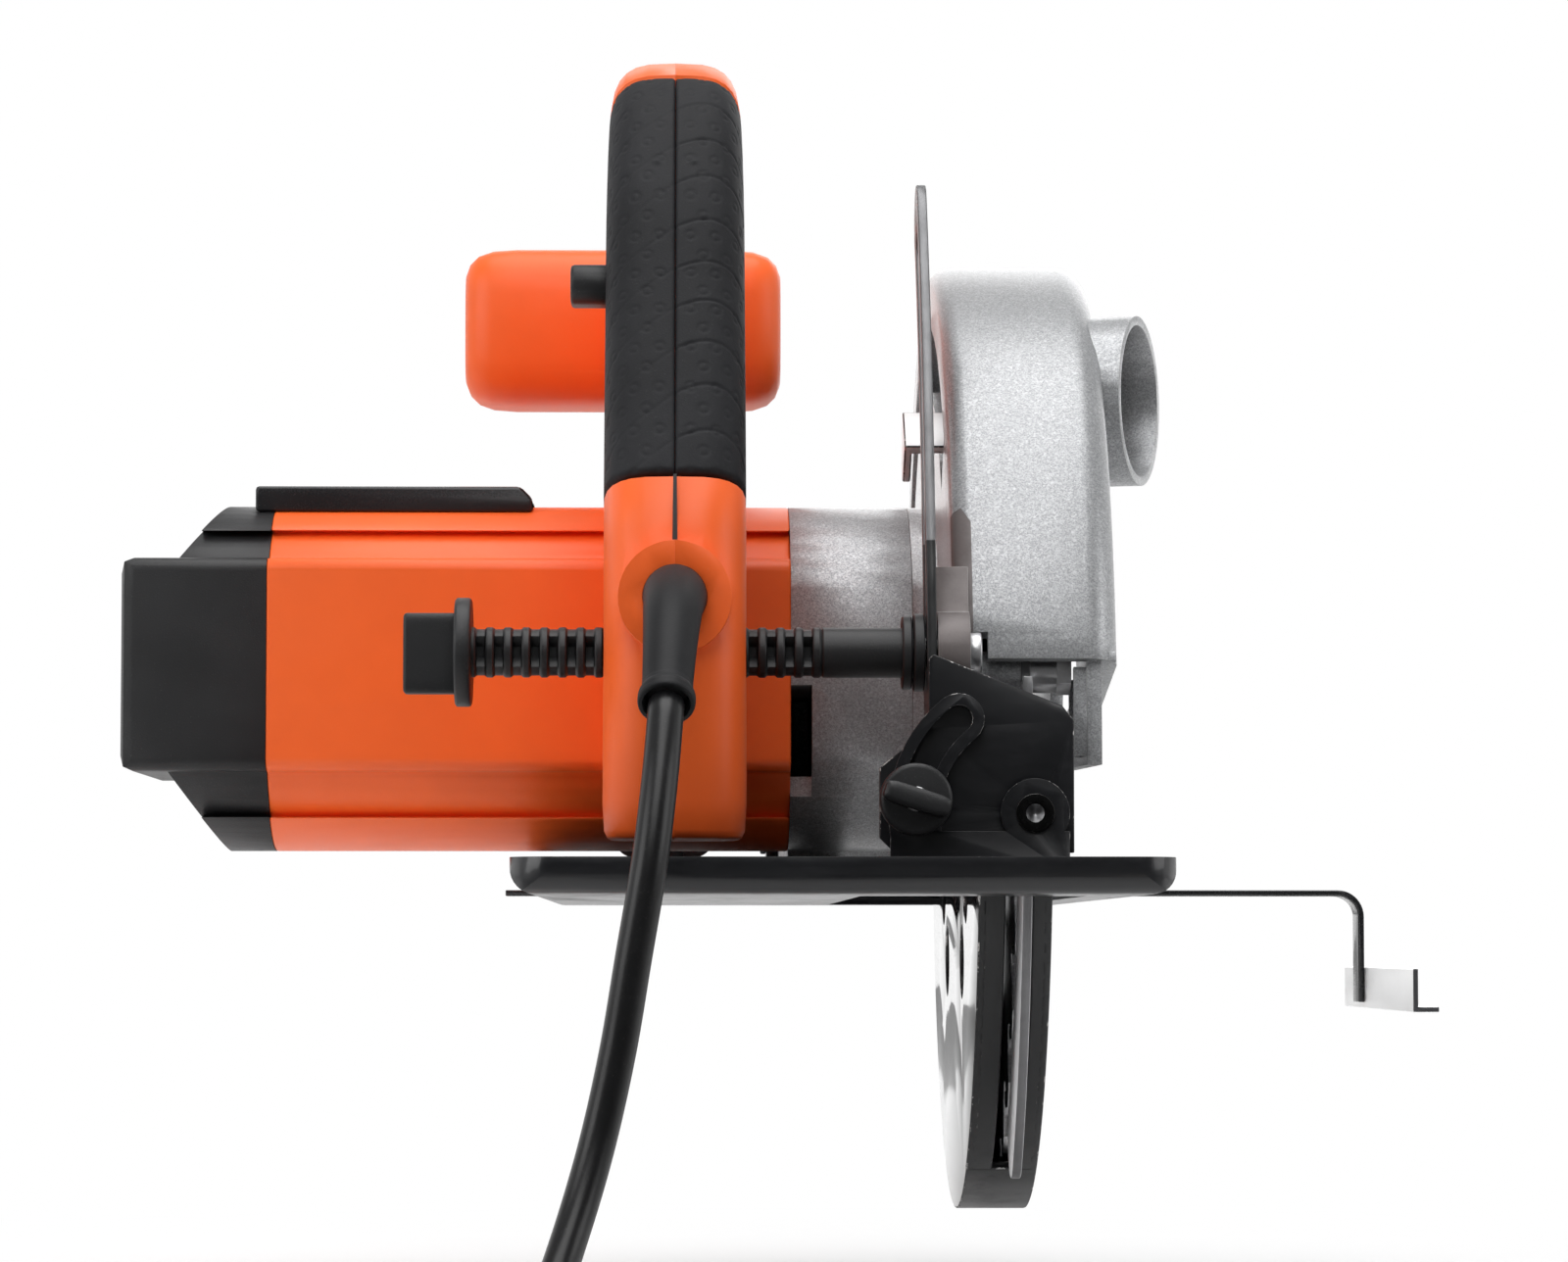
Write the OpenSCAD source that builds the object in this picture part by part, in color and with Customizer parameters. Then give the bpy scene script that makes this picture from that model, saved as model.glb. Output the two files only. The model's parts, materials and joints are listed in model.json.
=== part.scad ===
// Hand-held circular saw: pressed sole, bevel and depth frames, motor, gear case, guards, blade and D-handle.
// Origin: centre of the sole on its underside. +X to the blade side, +Y to the cutting direction, +Z up.

/* [Sole] */
// Length of the sole ahead of the lower guard
sole_front = 28.8; // [28.4:0.2:36]
// Length of the sole behind the riving knife
sole_rear = 41; // [39:0.5:50]
// Width of the sole
sole_w = 132; // [128:1:150]
// Sheet thickness of the sole
sole_t = 1.8; // [1.5:0.1:2]
// Height of the turned-up rim
rim_h = 7.4; // [6.4:0.2:9]
// Outer radius of the bend under the rim
rim_bend = 5.5; // [3.5:0.5:6]
// Plan radius of the sole's corners
corner_r = 9; // [7:1:14]

/* [Blade] */
// Blade diameter over the teeth
blade_d = 190; // [184:1:190]
// Thickness of the blade's body
blade_t = 1.6; // [1.4:0.1:1.8]
// Width of the carbide tips
kerf = 2.4; // [2.2:0.1:2.6]
// Number of teeth
teeth = 28; // [20:1:36]
// Diameter of the blade's bore
blade_bore = 16; // [15.9:0.1:20]
// Full depth of cut below the sole
cut_depth = 66; // [62:1:66]
// Distance of the blade plane from the sole's centre line
blade_x = 39; // [38:0.5:40]

/* [Guards] */
// Gap between blade tips and the lower guard's rim
tip_gap = 1.4; // [1.2:0.1:1.6]
// Wall of the lower guard
lower_t = 1.8; // [1.5:0.1:2]
// Gap between the lower guard's rim and the riving knife
knife_gap = 0.5; // [0.4:0.1:0.8]
// Thickness of the riving knife
knife_t = 2; // [1.8:0.1:2.2]
// Reach of the upper guard's shroud beyond the blade
guard_reach = 19.5; // [18.5:0.5:21]
// Wall of the cast upper guard
shroud_t = 3; // [2.5:0.5:3]
// Outer width of the shroud
shroud_w = 34; // [33:0.5:35]
// Inner diameter of the dust port
port_bore = 33; // [31:0.5:35]
// Wall of the dust port
port_t = 2; // [1.5:0.1:2.2]

/* [Motor and gears] */
// Diameter of the motor housing
motor_d = 77; // [76:0.5:78]
// Wall of the motor housing
housing_t = 3; // [2.5:0.5:3.5]
// Length of the motor housing
motor_len = 114.1; // [112:0.1:118]
// Gear module
gear_m = 1; // [0.98:0.01:1]
// Teeth of the motor pinion
pinion_n = 10; // [9:1:10]
// Teeth of the drive gear
gear_n = 42; // [41:1:42]
// Height of the motor axis above the arbor
motor_rise = 20.5; // [19:0.5:22]
// Diameter of the motor shaft
shaft_d = 10; // [9:0.5:10]
// Diameter of the arbor shaft
arbor_d = 14; // [13:0.5:14]

/* [Handle] */
// Width of the main handle
handle_w = 29.4; // [28.5:0.1:31]
// Distance of the handle's seam from the sole's centre line
handle_off = 33.4; // [32.5:0.1:34]
// Thickness of the rubber grip
grip_t = 2.2; // [1.8:0.1:2.6]
// Width of the front handle
front_w = 75; // [70:1:82]
// Height of the front handle
front_h = 38; // [35:0.5:39]
// Depth of the front handle
front_d = 32; // [28:1:36]

/* [Bevel and depth] */
// Sheet thickness of the bevel and depth brackets
plate_t = 2.5; // [2:0.1:2.8]
// Height of the bevel axis above the sole's underside
bevel_z = 16.7; // [16:0.1:18]
// Radius of the bevel slot
bevel_r = 24.5; // [23.5:0.5:25]
// Largest bevel angle
bevel_max = 45; // [40:1:46]
// Largest depth angle
depth_max = 25; // [20:1:26]
// Diameter of the clamping bolts' shanks
clamp_d = 5; // [4.6:0.1:5.4]
// Width of the rip fence's bar
fence_w = 10; // [8:0.5:10]
// Thickness of the rip fence
fence_t = 1.5; // [1.2:0.1:1.8]
// Diameter of the mains cord
cord_d = 7; // [6.5:0.1:7.2]

/* [Hidden] */
$fn = 48;

fit = 0.05;          // radial running fit
free = 0.3;          // gap between parts that pass each other
arbor_z = blade_d / 2 - cut_depth;
blade_r = blade_d / 2;
handle_x = -handle_off;

// guards, as radii about the arbor, and the sole round them
lower_r0 = blade_r + tip_gap;
lower_r1 = lower_r0 + lower_t;
knife_r0 = lower_r1 + knife_gap;
knife_r1 = knife_r0 + 17.3;
shroud_r = blade_r + guard_reach;
sole_len = sole_front + lower_r1 + knife_r1 + sole_rear;
arbor_y = sole_len / 2 - sole_front - lower_r1;

// motor axis, found from the gears' centre distance
gear_centre = gear_m * (pinion_n + gear_n) / 2;
motor_y = arbor_y - sqrt(gear_centre * gear_centre - motor_rise * motor_rise);
motor_z = arbor_z + motor_rise;
motor_r = motor_d / 2;
case_x0 = -8.1;      // joint of motor housing and gear housing
case_x1 = 18.3;      // joint of gear housing and upper guard
motor_x0 = case_x0 - motor_len;
cap_len = 31.7;      // length of the end cap
motor_side = 34;     // flat sides of the motor housing, from its axis
belt_half = 23.3;    // half height of the belt along each side
belt_rise = 1.5;     // height of the belt's middle over the axis
belt_r = 3;          // rounding of the belt's edges
flute = 1.8;         // depth of the flutes above and below the belt
ridge_z = 31.5;      // where the flutes end, from the axis

// guards, as planes across the arbor
lower_x0 = blade_x - 8.9;
lower_x1 = blade_x + 6.5;
shroud_x0 = blade_x - 15;
shroud_x1 = shroud_x0 + shroud_w;
rear_end = 170;      // angle at which the shroud ends at the rear
front_end = 18;      // and at the front
hub_r = 22;          // boss that the lower guard turns on
hub_x1 = lower_x0 + lower_t + 0.3;
knife_bolt_r = (knife_r0 + shroud_r - shroud_t) / 2;
knife_bolt_at = [170.5, 158];

// bevel axis and plates
bevel_x = blade_x + 0.5;
bevel_rest = 174;    // slot angle at which the bolt rests
rear_y = 34 - sole_len / 2;       // front face of the rear tilt plate
front_y = sole_len / 2 - 14.4;    // rear face of the front tilt plate
bolt_x = bevel_x + bevel_r * cos(bevel_rest);
bolt_z = bevel_z + bevel_r * sin(bevel_rest);
rear_fix_y = rear_y - plate_t - free;
front_fix_y = front_y + plate_t + free;

// depth pivot, quadrant and lever
pivot_y = front_y - 8.6;
pivot_z = 18;
pivot_r = 4;
arm_x0 = case_x0 + 0.1;
arm_x1 = 6;
arm_end = 8.2;       // radius of the arm's end, clear of the front plate
lever_y = rear_y + 11;
lever_z = 50;
lever_r = norm([lever_y - pivot_y, lever_z - pivot_z]);
lever_a = atan2(lever_z - pivot_z, lever_y - pivot_y);
quad_x1 = shroud_x0 - 3.9;
quad_t = 2;
quad_w = 16;

// rip fence
fence_y = front_y - 6.6;
fence_z = sole_t + free;
fence_x1 = 137;
fence_x0 = -75;

// window in the sole for blade, guards and knife, tilted ones too
window_x0 = bevel_x - bevel_z - (bevel_x - lower_x0) / cos(bevel_max) - 5;
window_x1 = blade_x + 11.5;
window_y0 = arbor_y - knife_r1 - 2.7;
window_y1 = arbor_y + lower_r1 + 1.3;

// cord
floor_z = -92;
coil_c = [-15, -262];
coil_r0 = 26;
coil_r1 = 54;
coil_h = 14;
relief_z = motor_z + 10.5;
relief_route = [[handle_x, -107, relief_z], [handle_x, -119, relief_z], [-33.5, -131, relief_z - 1],
  [-33.9, -145, relief_z - 5.5], [-34.4, -157, relief_z - 13.5], [-35, -168, relief_z - 24]];
relief_radii = [6.5, 6.5, 6.3, 5.8, 5.2, 4.7];
cord_route = [[-35, -168, relief_z - 24], [-35.3, -172, relief_z - 28], [-36.2, -178, relief_z - 38.5],
  [-38, -183, relief_z - 54], [-41, -185, -12], [-44, -186, -30], [-48, -188, -48], [-53, -195, -65], [-58, -208, -79], [-62, -224, -87], [-64, -241, -88.5], [-65.5, -256, -88.5]];
cord_end_route = [[-15, -309, -81.5], [2, -308.5, -81.5], [19, -305.5, -83], [33, -299.9, -84.5], [45, -296, -84.5]];
plug_at = [45, -296, -84.5];

// ---- shared forms ----

// an outline in Y and Z, given depth from x0 to x1
module slab_x(x0, x1) translate([x0, 0, 0]) rotate([90, 0, 90]) linear_extrude(x1 - x0) children();

// an outline in X and Z, given depth from y0 to y1
module slab_y(y0, y1) translate([0, y1, 0]) rotate([90, 0, 0]) linear_extrude(y1 - y0) children();

module rod_x(x0, x1, r, y, z, n = 48) translate([x0, y, z]) rotate([0, 90, 0])
  cylinder(h = x1 - x0, r = r, $fn = n);

module rod_y(y0, y1, r, x, z, n = 48) translate([x, y0, z]) rotate([-90, 0, 0])
  cylinder(h = y1 - y0, r = r, $fn = n);

module ring_x(x0, x1, r0, r1, y, z) difference() {
  rod_x(x0, x1, r1, y, z);
  rod_x(x0 - 1, x1 + 1, r0, y, z);
}

// part of a ring about the arbor, from angle a0 to a1; 0 is ahead and 90 is up
module sector(r0, r1, a0, a1, x0, x1) translate([x0, arbor_y, arbor_z]) rotate([90, 0, 90])
  rotate_extrude(angle = a1 - a0, start = a0, $fn = 96) translate([r0, 0]) square([r1 - r0, x1 - x0]);

// curved band of half width w on radius r between two angles, with round ends, in n steps
function polar(r, a) = r * [cos(a), sin(a)];
module arc_band(r, w, a0, a1, n = 15) polygon(concat(
  [for (i = [0:n]) polar(r + w, a0 + (a1 - a0) * i / n)],
  [for (i = [1:9]) polar(r, a1) + polar(w, a1 + 18 * i)],
  [for (i = [n:-1:0]) polar(r - w, a0 + (a1 - a0) * i / n)],
  [for (i = [1:9]) polar(r, a0) + polar(w, a0 + 180 + 18 * i)]));

// a place on a circle about the arbor
function about_arbor(r, a) = [arbor_y + r * cos(a), arbor_z + r * sin(a)];

// a point of a Catmull-Rom curve through p, at parameter u
function knot(p, i) = p[max(0, min(len(p) - 1, i))];
function blend4(a, b, c, d, t) = 0.5 * (2 * b + (c - a) * t + (2 * a - 5 * b + 4 * c - d) * t * t
  + (3 * b - a - 3 * c + d) * t * t * t);
function curve(p, u) = let (i = min(len(p) - 2, floor(u)))
  blend4(knot(p, i - 1), knot(p, i), knot(p, i + 1), knot(p, i + 2), u - i);
function unit(v) = v / norm(v);
function heading(p, u) = unit(curve(p, min(u + 0.02, len(p) - 1)) - curve(p, max(u - 0.02, 0)));

// rings of m points each, skinned and capped
module skin(rings) {
  m = len(rings[0]);
  n = len(rings);
  polyhedron(points = [for (r = rings) each r], faces = concat(
    [[for (j = [0:m - 1]) j]],
    [for (i = [0:n - 2]) for (j = [0:m - 1]) let (a = i * m + j, b = i * m + (j + 1) % m)
      each [[a, a + m, b], [b, a + m, b + m]]],
    [[for (j = [m - 1:-1:0]) (n - 1) * m + j]]));
}

// a round tube of radii r along the route p, with its rings square to the route
module tube(p, r, steps, sides, side_dir = [1, 0, 0]) {
  n = (len(p) - 1) * steps;
  skin([for (k = [0:n]) let (u = k / steps, c = curve(p, u), t = heading(p, u),
    e1 = unit(cross(t, side_dir)), e2 = cross(t, e1), rad = is_list(r) ? curve(r, u) : r)
    [for (j = [0:sides - 1]) c + rad * (cos(360 * j / sides) * e1 - sin(360 * j / sides) * e2)]]);
}

// ---- sole and its brackets ----

// channel outline with rounded lower corners, w wide and h tall
module tray_side(w, h, r) {
  translate([-w / 2, r]) square([w, h - r]);
  translate([r - w / 2, 0]) square([w - 2 * r, r]);
  for (s = [-1, 1]) translate([s * (w / 2 - r), r]) circle(r);
}

module tray(w, l, z0, r, cr) intersection() {
  slab_y(-l / 2, l / 2) translate([0, z0]) tray_side(w, rim_h - z0 + 1, r);
  slab_x(-w / 2, w / 2) translate([0, z0]) tray_side(l, rim_h - z0 + 1, r);
  linear_extrude(rim_h) union() {
    square([w - 2 * cr, l], center = true);
    square([w, l - 2 * cr], center = true);
    for (x = [-1, 1]) for (y = [-1, 1]) translate([x * (w / 2 - cr), y * (l / 2 - cr)]) circle(cr);
  }
}

rivet_r = 1.5;
rear_rivets = [[15, rear_fix_y - plate_t - 6], [38, rear_fix_y - plate_t - 6]];
front_rivets = [[0, front_fix_y - 2], [24, front_fix_y - 2]];
clip_x = -36;
clip_w = 16;
clip_t = 1.8;
clip_rivets = [[clip_x, fence_y - fence_w / 2 - 6], [clip_x, fence_y + fence_w / 2 + 5]];

module base_plate() color([0.08, 0.08, 0.09]) difference() {
  tray(sole_w, sole_len, 0, rim_bend, corner_r);
  tray(sole_w - 2 * sole_t, sole_len - 2 * sole_t, sole_t, rim_bend - sole_t, corner_r - sole_t);
  translate([-sole_w / 2, -sole_len / 2, rim_h]) cube([sole_w, sole_len, 3]);
  translate([window_x0, window_y0, -1]) cube([window_x1 - window_x0, window_y1 - window_y0, sole_t + 2]);
  // slots in both rims for the fence bar
  translate([-sole_w, fence_y - fence_w / 2 - free, sole_t + 0.1])
    cube([2 * sole_w, fence_w + 2 * free, fence_t + 2 * free]);
  // sighting notch at the front, on the cutting line
  translate([blade_x - 4, sole_len / 2 - 4, sole_t]) cube([8, 6, rim_h]);
  for (p = concat(rear_rivets, front_rivets, clip_rivets)) translate([p[0], p[1], -1])
    cylinder(h = sole_t + 2, r = rivet_r + fit);
}

// outline of a fixed bracket: strip, slotted arm and pivot ear
module bevel_arm_outline(x0) difference() {
  union() {
    translate([x0, sole_t]) square([bevel_x + 7 - x0, 11.2]);
    translate([bevel_x, bevel_z]) {
      arc_band(bevel_r, 5.2, bevel_rest - bevel_max, bevel_rest + 18);
      circle(7);
    }
  }
  translate([bevel_x, bevel_z]) {
    arc_band(bevel_r, slot_half, bevel_rest - bevel_max, bevel_rest);
    circle(pin_r + fit);
  }
}
slot_half = clamp_d / 2 + 0.3;
rear_foot_x = 10.2;
pin_r = 3;

module rear_bevel_bracket() color([0.1, 0.1, 0.11]) difference() {
  union() {
    slab_y(rear_fix_y - plate_t, rear_fix_y) bevel_arm_outline(rear_foot_x);
    translate([rear_foot_x, rear_fix_y - 13, sole_t]) cube([bevel_x + 7 - rear_foot_x, 13, plate_t]);
  }
  for (p = rear_rivets) translate([p[0], p[1], 0]) cylinder(h = 9, r = rivet_r + fit);
}

module front_bevel_bracket() color([0.1, 0.1, 0.11]) difference() {
  union() {
    slab_y(front_fix_y, front_fix_y + plate_t) bevel_arm_outline(-4);
    translate([-4, front_fix_y - 4, sole_t]) cube([bevel_x + 11, 4 + plate_t, plate_t]);
  }
  for (p = front_rivets) translate([p[0], p[1], 0]) cylinder(h = 9, r = rivet_r + fit);
}

module rivet(p, over) translate([p[0], p[1], 0]) {
  cylinder(h = sole_t + over, r = rivet_r);
  translate([0, 0, sole_t + over]) cylinder(h = 1, r1 = rivet_r + 0.4, r2 = rivet_r);
}

module bracket_rivets() color([0.62, 0.62, 0.62]) {
  for (p = concat(rear_rivets, front_rivets)) rivet(p, plate_t);
  for (p = clip_rivets) rivet(p, clip_t);
}

// tubular rivets on the bevel axis, flared outside
module tube_rivet(y0, y1, out) {
  mouth = out > 0 ? y1 : y0;
  difference() {
    union() {
      rod_y(y0, y1, pin_r, bevel_x, bevel_z);
      rod_y(min(mouth, mouth + out), max(mouth, mouth + out), pin_r + 0.9, bevel_x, bevel_z);
      rod_y(out > 0 ? y0 - 1.2 : y1, out > 0 ? y0 : y1 + 1.2, pin_r + 1.6, bevel_x, bevel_z);
    }
    rod_y(y0 - 4, y1 + 4, pin_r - 1.1, bevel_x, bevel_z);
  }
}

module bevel_pivots() color([0.66, 0.64, 0.62]) {
  tube_rivet(rear_fix_y - plate_t, rear_y + 0.1, -0.8);
  tube_rivet(front_y - 0.1, front_fix_y + plate_t, 0.8);
}

// bridge over the fence bar, with the clamp screw's threaded collar
module fence_clip() color([0.1, 0.1, 0.11]) difference() {
  union() {
    translate([clip_x - clip_w / 2, fence_y - fence_w / 2 - 10, sole_t]) cube([clip_w, fence_w + 19, clip_t]);
    translate([clip_x - clip_w / 2, fence_y - fence_w / 2 - 2.3, sole_t])
      cube([clip_w, fence_w + 4.6, clip_top - sole_t]);
    translate([clip_x, fence_y, clip_top]) cylinder(h = 2.5, r = 5);
  }
  translate([clip_x - clip_w, fence_y - fence_w / 2 - free, sole_t - 1])
    cube([2 * clip_w, fence_w + 2 * free, 1 + fence_t + 2 * free]);
  translate([clip_x, fence_y, 0]) cylinder(h = 20, r = 2.5 + fit);
  for (p = clip_rivets) translate([p[0], p[1], 0]) cylinder(h = 9, r = rivet_r + fit);
}
clip_top = sole_t + fence_t + 2 * free + 2.2;

module fence_bar() color([0.12, 0.12, 0.13]) slab_y(fence_y - fence_w / 2, fence_y + fence_w / 2) {
  bend = 5 + fence_t;
  translate([fence_x0, fence_z]) square([fence_x1 - bend - fence_x0, fence_t]);
  translate([fence_x1 - bend, fence_z + fence_t - bend]) intersection() {
    difference() { circle(bend); circle(bend - fence_t); }
    square(bend);
  }
  translate([fence_x1 - fence_t, -24]) square([fence_t, 24 + fence_z + fence_t - bend]);
}

module fence_guide() color([0.75, 0.75, 0.76]) {
  guide_t = 1.2;
  slab_y(fence_y - 88, fence_y + 32) {
    translate([fence_x1, -25.4]) square([guide_t, 10]);
    translate([fence_x1, -25.4]) square([6, guide_t]);
  }
}

module fence_screw() color([0.1, 0.1, 0.1]) {
  z0 = fence_z + fence_t + 0.1;
  translate([clip_x, fence_y, z0]) cylinder(h = 14, r = 2.5);
  translate([clip_x, fence_y, clip_top + 2.5 + free + 2]) cylinder(h = 5, r = 5);
  for (s = [-1, 1]) translate([clip_x + s * 7, fence_y, clip_top + 11]) rotate([90, 0, 0])
    translate([0, 0, -1.5]) cylinder(h = 3, r = 5.5);
}

// ---- tilting frame ----

module tilt_holes() translate([bevel_x, bevel_z]) {
  circle(pin_r + fit);
  rotate(bevel_rest) translate([bevel_r, 0]) circle(clamp_d / 2 + fit);
}

tilt_right = bevel_x + 8.1;
tilt_low = bevel_z - 8;

module rear_tilt_plate() color([0.09, 0.09, 0.1]) slab_y(rear_y - plate_t, rear_y) difference() {
    polygon([[bolt_x - 7, tilt_low + 3], [bolt_x - 4, tilt_low], [tilt_right, tilt_low], [tilt_right, 35.6],
      [tilt_right - 2.4, 38.6], [quad_x1 - quad_t + 1, 49], [quad_x1 - quad_t, 48], [quad_x1 - quad_t, 34], [bolt_x - 7, 26]]);
  tilt_holes();
}

// the front plate carries two ears, bent back, for the depth pivot
ear_t = 2.5;
module front_tilt_plate() color([0.09, 0.09, 0.1]) difference() {
  union() {
    slab_y(front_y, front_y + plate_t) difference() {
      polygon([[arm_x0 - free - ear_t, tilt_low], [tilt_right, tilt_low], [tilt_right, 30], [tilt_right - 5, 35],
        [22, 35], [8, 30], [arm_x0 - free - ear_t, 30]]);
      tilt_holes();
    }
    for (x = [arm_x0 - free - ear_t, arm_x1 + free]) slab_x(x, x + ear_t) {
      translate([pivot_y, pivot_z]) circle(9);
      translate([pivot_y, pivot_z - 9]) square([front_y - pivot_y, 18]);
    }
  }
  rod_x(arm_x0 - 10, arm_x1 + 10, pivot_r + fit, pivot_y, pivot_z);
}

module depth_quadrant() color([0.55, 0.56, 0.58]) slab_x(quad_x1 - quad_t, quad_x1) difference() {
  union() {
    translate([pivot_y, pivot_z]) arc_band(lever_r, quad_w / 2, lever_a - depth_max - 2, lever_a + 2, 30);
    translate([rear_y, bolt_z + 5]) square([16, 22]);
  }
  translate([pivot_y, pivot_z]) arc_band(lever_r, 3.4, lever_a - depth_max, lever_a, 30);
}

module depth_pivot_pin() color([0.7, 0.7, 0.7]) {
  x0 = arm_x0 - free - ear_t;
  x1 = arm_x1 + free + ear_t;
  rod_x(x0, x1, pivot_r, pivot_y, pivot_z);
  rod_x(x0 - 1.5, x0, pivot_r + 1.5, pivot_y, pivot_z);
  rod_x(x1, x1 + 1.5, pivot_r + 1.5, pivot_y, pivot_z);
}

module bevel_bolts() color([0.7, 0.7, 0.7]) {
  rod_y(rear_fix_y - plate_t - 9, rear_y, clamp_d / 2, bolt_x, bolt_z);
  rod_y(rear_y, rear_y + 2, 4.5, bolt_x, bolt_z);
  rod_y(front_y, front_fix_y + plate_t + 9, clamp_d / 2, bolt_x, bolt_z);
  rod_y(front_y - 2, front_y, 4.5, bolt_x, bolt_z);
}

// round knob with a wing across its face, turned by tilt
module knob(tilt) difference() {
  union() {
    cylinder(h = 6, r = 7.3, $fn = 64);
    intersection() {
      rotate(tilt) translate([-7.3, -2.2, 6]) cube([14.6, 4.4, 5]);
      cylinder(h = 12, r = 7.3, $fn = 64);
    }
    translate([0, 0, -1]) cylinder(h = 1, r = 5.6);
  }
  translate([0, 0, -2]) cylinder(h = 10.3, r = clamp_d / 2 + fit);
}

module rear_bevel_knob() color([0.16, 0.16, 0.17])
  translate([bolt_x, rear_fix_y - plate_t - free - 1, bolt_z]) rotate([90, 0, 0]) knob(-17.7);

module front_bevel_knob() color([0.16, 0.16, 0.17])
  translate([bolt_x, front_fix_y + plate_t + free + 1, bolt_z]) rotate([-90, 0, 0]) knob(-17.7);

// ---- motor ----

// round section with flat sides, taken in by less
module flat_round(less_r, less_side) intersection() {
  circle(motor_r - less_r, $fn = 96);
  square([2 * (motor_side - less_side), 2 * motor_r], center = true);
}

// housing outline: a broad belt along each side, with a shallow flute above and below it
module motor_outline(grow = 0) {
  flat_round(flute - grow, -grow);
  for (s = [-1, 1]) intersection() {
    flat_round(-grow, -grow);
    translate([-motor_r, s > 0 ? ridge_z - grow : -ridge_z + grow - motor_r]) square([2 * motor_r, motor_r]);
  }
  translate([0, belt_rise]) {
    square([2 * (motor_side + grow), 2 * (belt_half - belt_r)], center = true);
    square([2 * (motor_side - belt_r), 2 * (belt_half + grow)], center = true);
    for (y = [-1, 1], z = [-1, 1]) translate([y * (motor_side - belt_r), z * (belt_half - belt_r)])
      circle(belt_r + grow, $fn = 24);
  }
}

// space inside the housing
module motor_bore(less = 0) flat_round(housing_t + flute + less, housing_t + less);

module at_motor(x0, x1) translate([0, motor_y, motor_z]) slab_x(x0, x1) children();

module motor_housing() color([0.98, 0.38, 0.14]) difference() {
  at_motor(motor_x0, case_x0) motor_outline();
  at_motor(motor_x0 - 1, case_x0 + 1) motor_bore();
}

// cap silhouette along X: shoulders down to a block, the lower shoulder further out by lag
cap_shoulder = [8, 19.8];
function cap_edge(s, full, block, lag) = let (x1 = motor_x0, x0 = motor_x0 - cap_len)
  [[x1, s * full], [x1 - cap_shoulder[0] - lag, s * full], [x1 - cap_shoulder[1] - lag, s * block], [x0 + 3, s * block],
   [x0 + 0.8, s * (block - 1)], [x0, s * (block - 3.5)]];
module cap_outline(full, block, lag = 0) {
  low = cap_edge(-1, full, block, lag);
  polygon(concat(cap_edge(1, full, block, 0), [for (i = [5:-1:0]) low[i]]));
}

module end_cap() color([0.17, 0.17, 0.18]) difference() {
  intersection() {
    at_motor(motor_x0 - cap_len, motor_x0) motor_outline();
    translate([0, 0, motor_z + belt_rise]) slab_y(motor_y - 50, motor_y + 50) cap_outline(motor_r + 2, belt_half, 1.7);
    translate([0, motor_y, motor_z - 50]) linear_extrude(100) cap_outline(motor_r + 2, motor_side);
  }
  at_motor(motor_x0 - cap_shoulder[0], motor_x0 + 1) motor_bore();
  rod_x(motor_x0 - 24, motor_x0 - cap_shoulder[0] + 1, 11 + fit, motor_y, motor_z);
  for (i = [-3:3]) translate([motor_x0 - cap_len - 1, motor_y + i * 7.5 - 1.6, motor_z - 15]) cube([6, 3.2, 32]);
}

module top_cover() color([0.17, 0.17, 0.18]) difference() {
  w = 26;
  len_x = 61.4;
  cover_x0 = motor_x0 - 4.2;
  translate([cover_x0, motor_y - w / 2, motor_z + motor_r - 4]) cube([len_x, w, 7.7]);
  rod_x(motor_x0 - 5, case_x0, motor_r + 0.05, motor_y, motor_z, 96);
  for (s = [-1, 1]) translate([motor_x0 - 5, motor_y + s * w / 2, motor_z + motor_r + 3.7]) rotate([45, 0, 0])
    cube([len_x + 5, 3, 3], center = false);
  translate([cover_x0 + len_x, motor_y - w, motor_z + motor_r + 1]) rotate([0, -45, 0]) cube([6, 2 * w, 6]);
}

core_r = 22;
module field_core() color([0.3, 0.3, 0.32]) at_motor(motor_x0 + 26, motor_x0 + 84) difference() {
  motor_bore(fit);
  circle(core_r + 0.6);
  for (s = [-1, 1]) translate([0, s * 27]) square([22, 8], center = true);
}

brush_x = motor_x0 + 12;
comm_r = 13;
brush_half = [3.5, 2.5];
module at_brushes() for (s = [0, 180]) translate([brush_x, motor_y, motor_z]) rotate([s, 0, 0]) children();

module at_brushes_box(y0, y1, grow) translate([-brush_half[0] - grow, y0, -brush_half[1] - grow])
  cube([2 * (brush_half[0] + grow), y1 - y0, 2 * (brush_half[1] + grow)]);

module brush_holders() color([0.75, 0.6, 0.25]) at_brushes() difference() {
  at_brushes_box(comm_r + 1, motor_side - housing_t - 0.4, 1);
  at_brushes_box(comm_r, comm_r + 17, fit);
}

module carbon_brushes() color([0.12, 0.12, 0.12]) at_brushes() at_brushes_box(comm_r + fit, comm_r + 15, 0);

shaft_r = shaft_d / 2;
arbor_r = arbor_d / 2;
module motor_bearings() color([0.7, 0.7, 0.72]) {
  ring_x(motor_x0 - 23, motor_x0 - 15, shaft_r + fit, 11, motor_y, motor_z);
  ring_x(-1.5, 4.5, shaft_r + fit, 13, motor_y, motor_z);
}

pinion_x = [5.5, 17.3];
gear_x = [7.5, 15.5];

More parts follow.
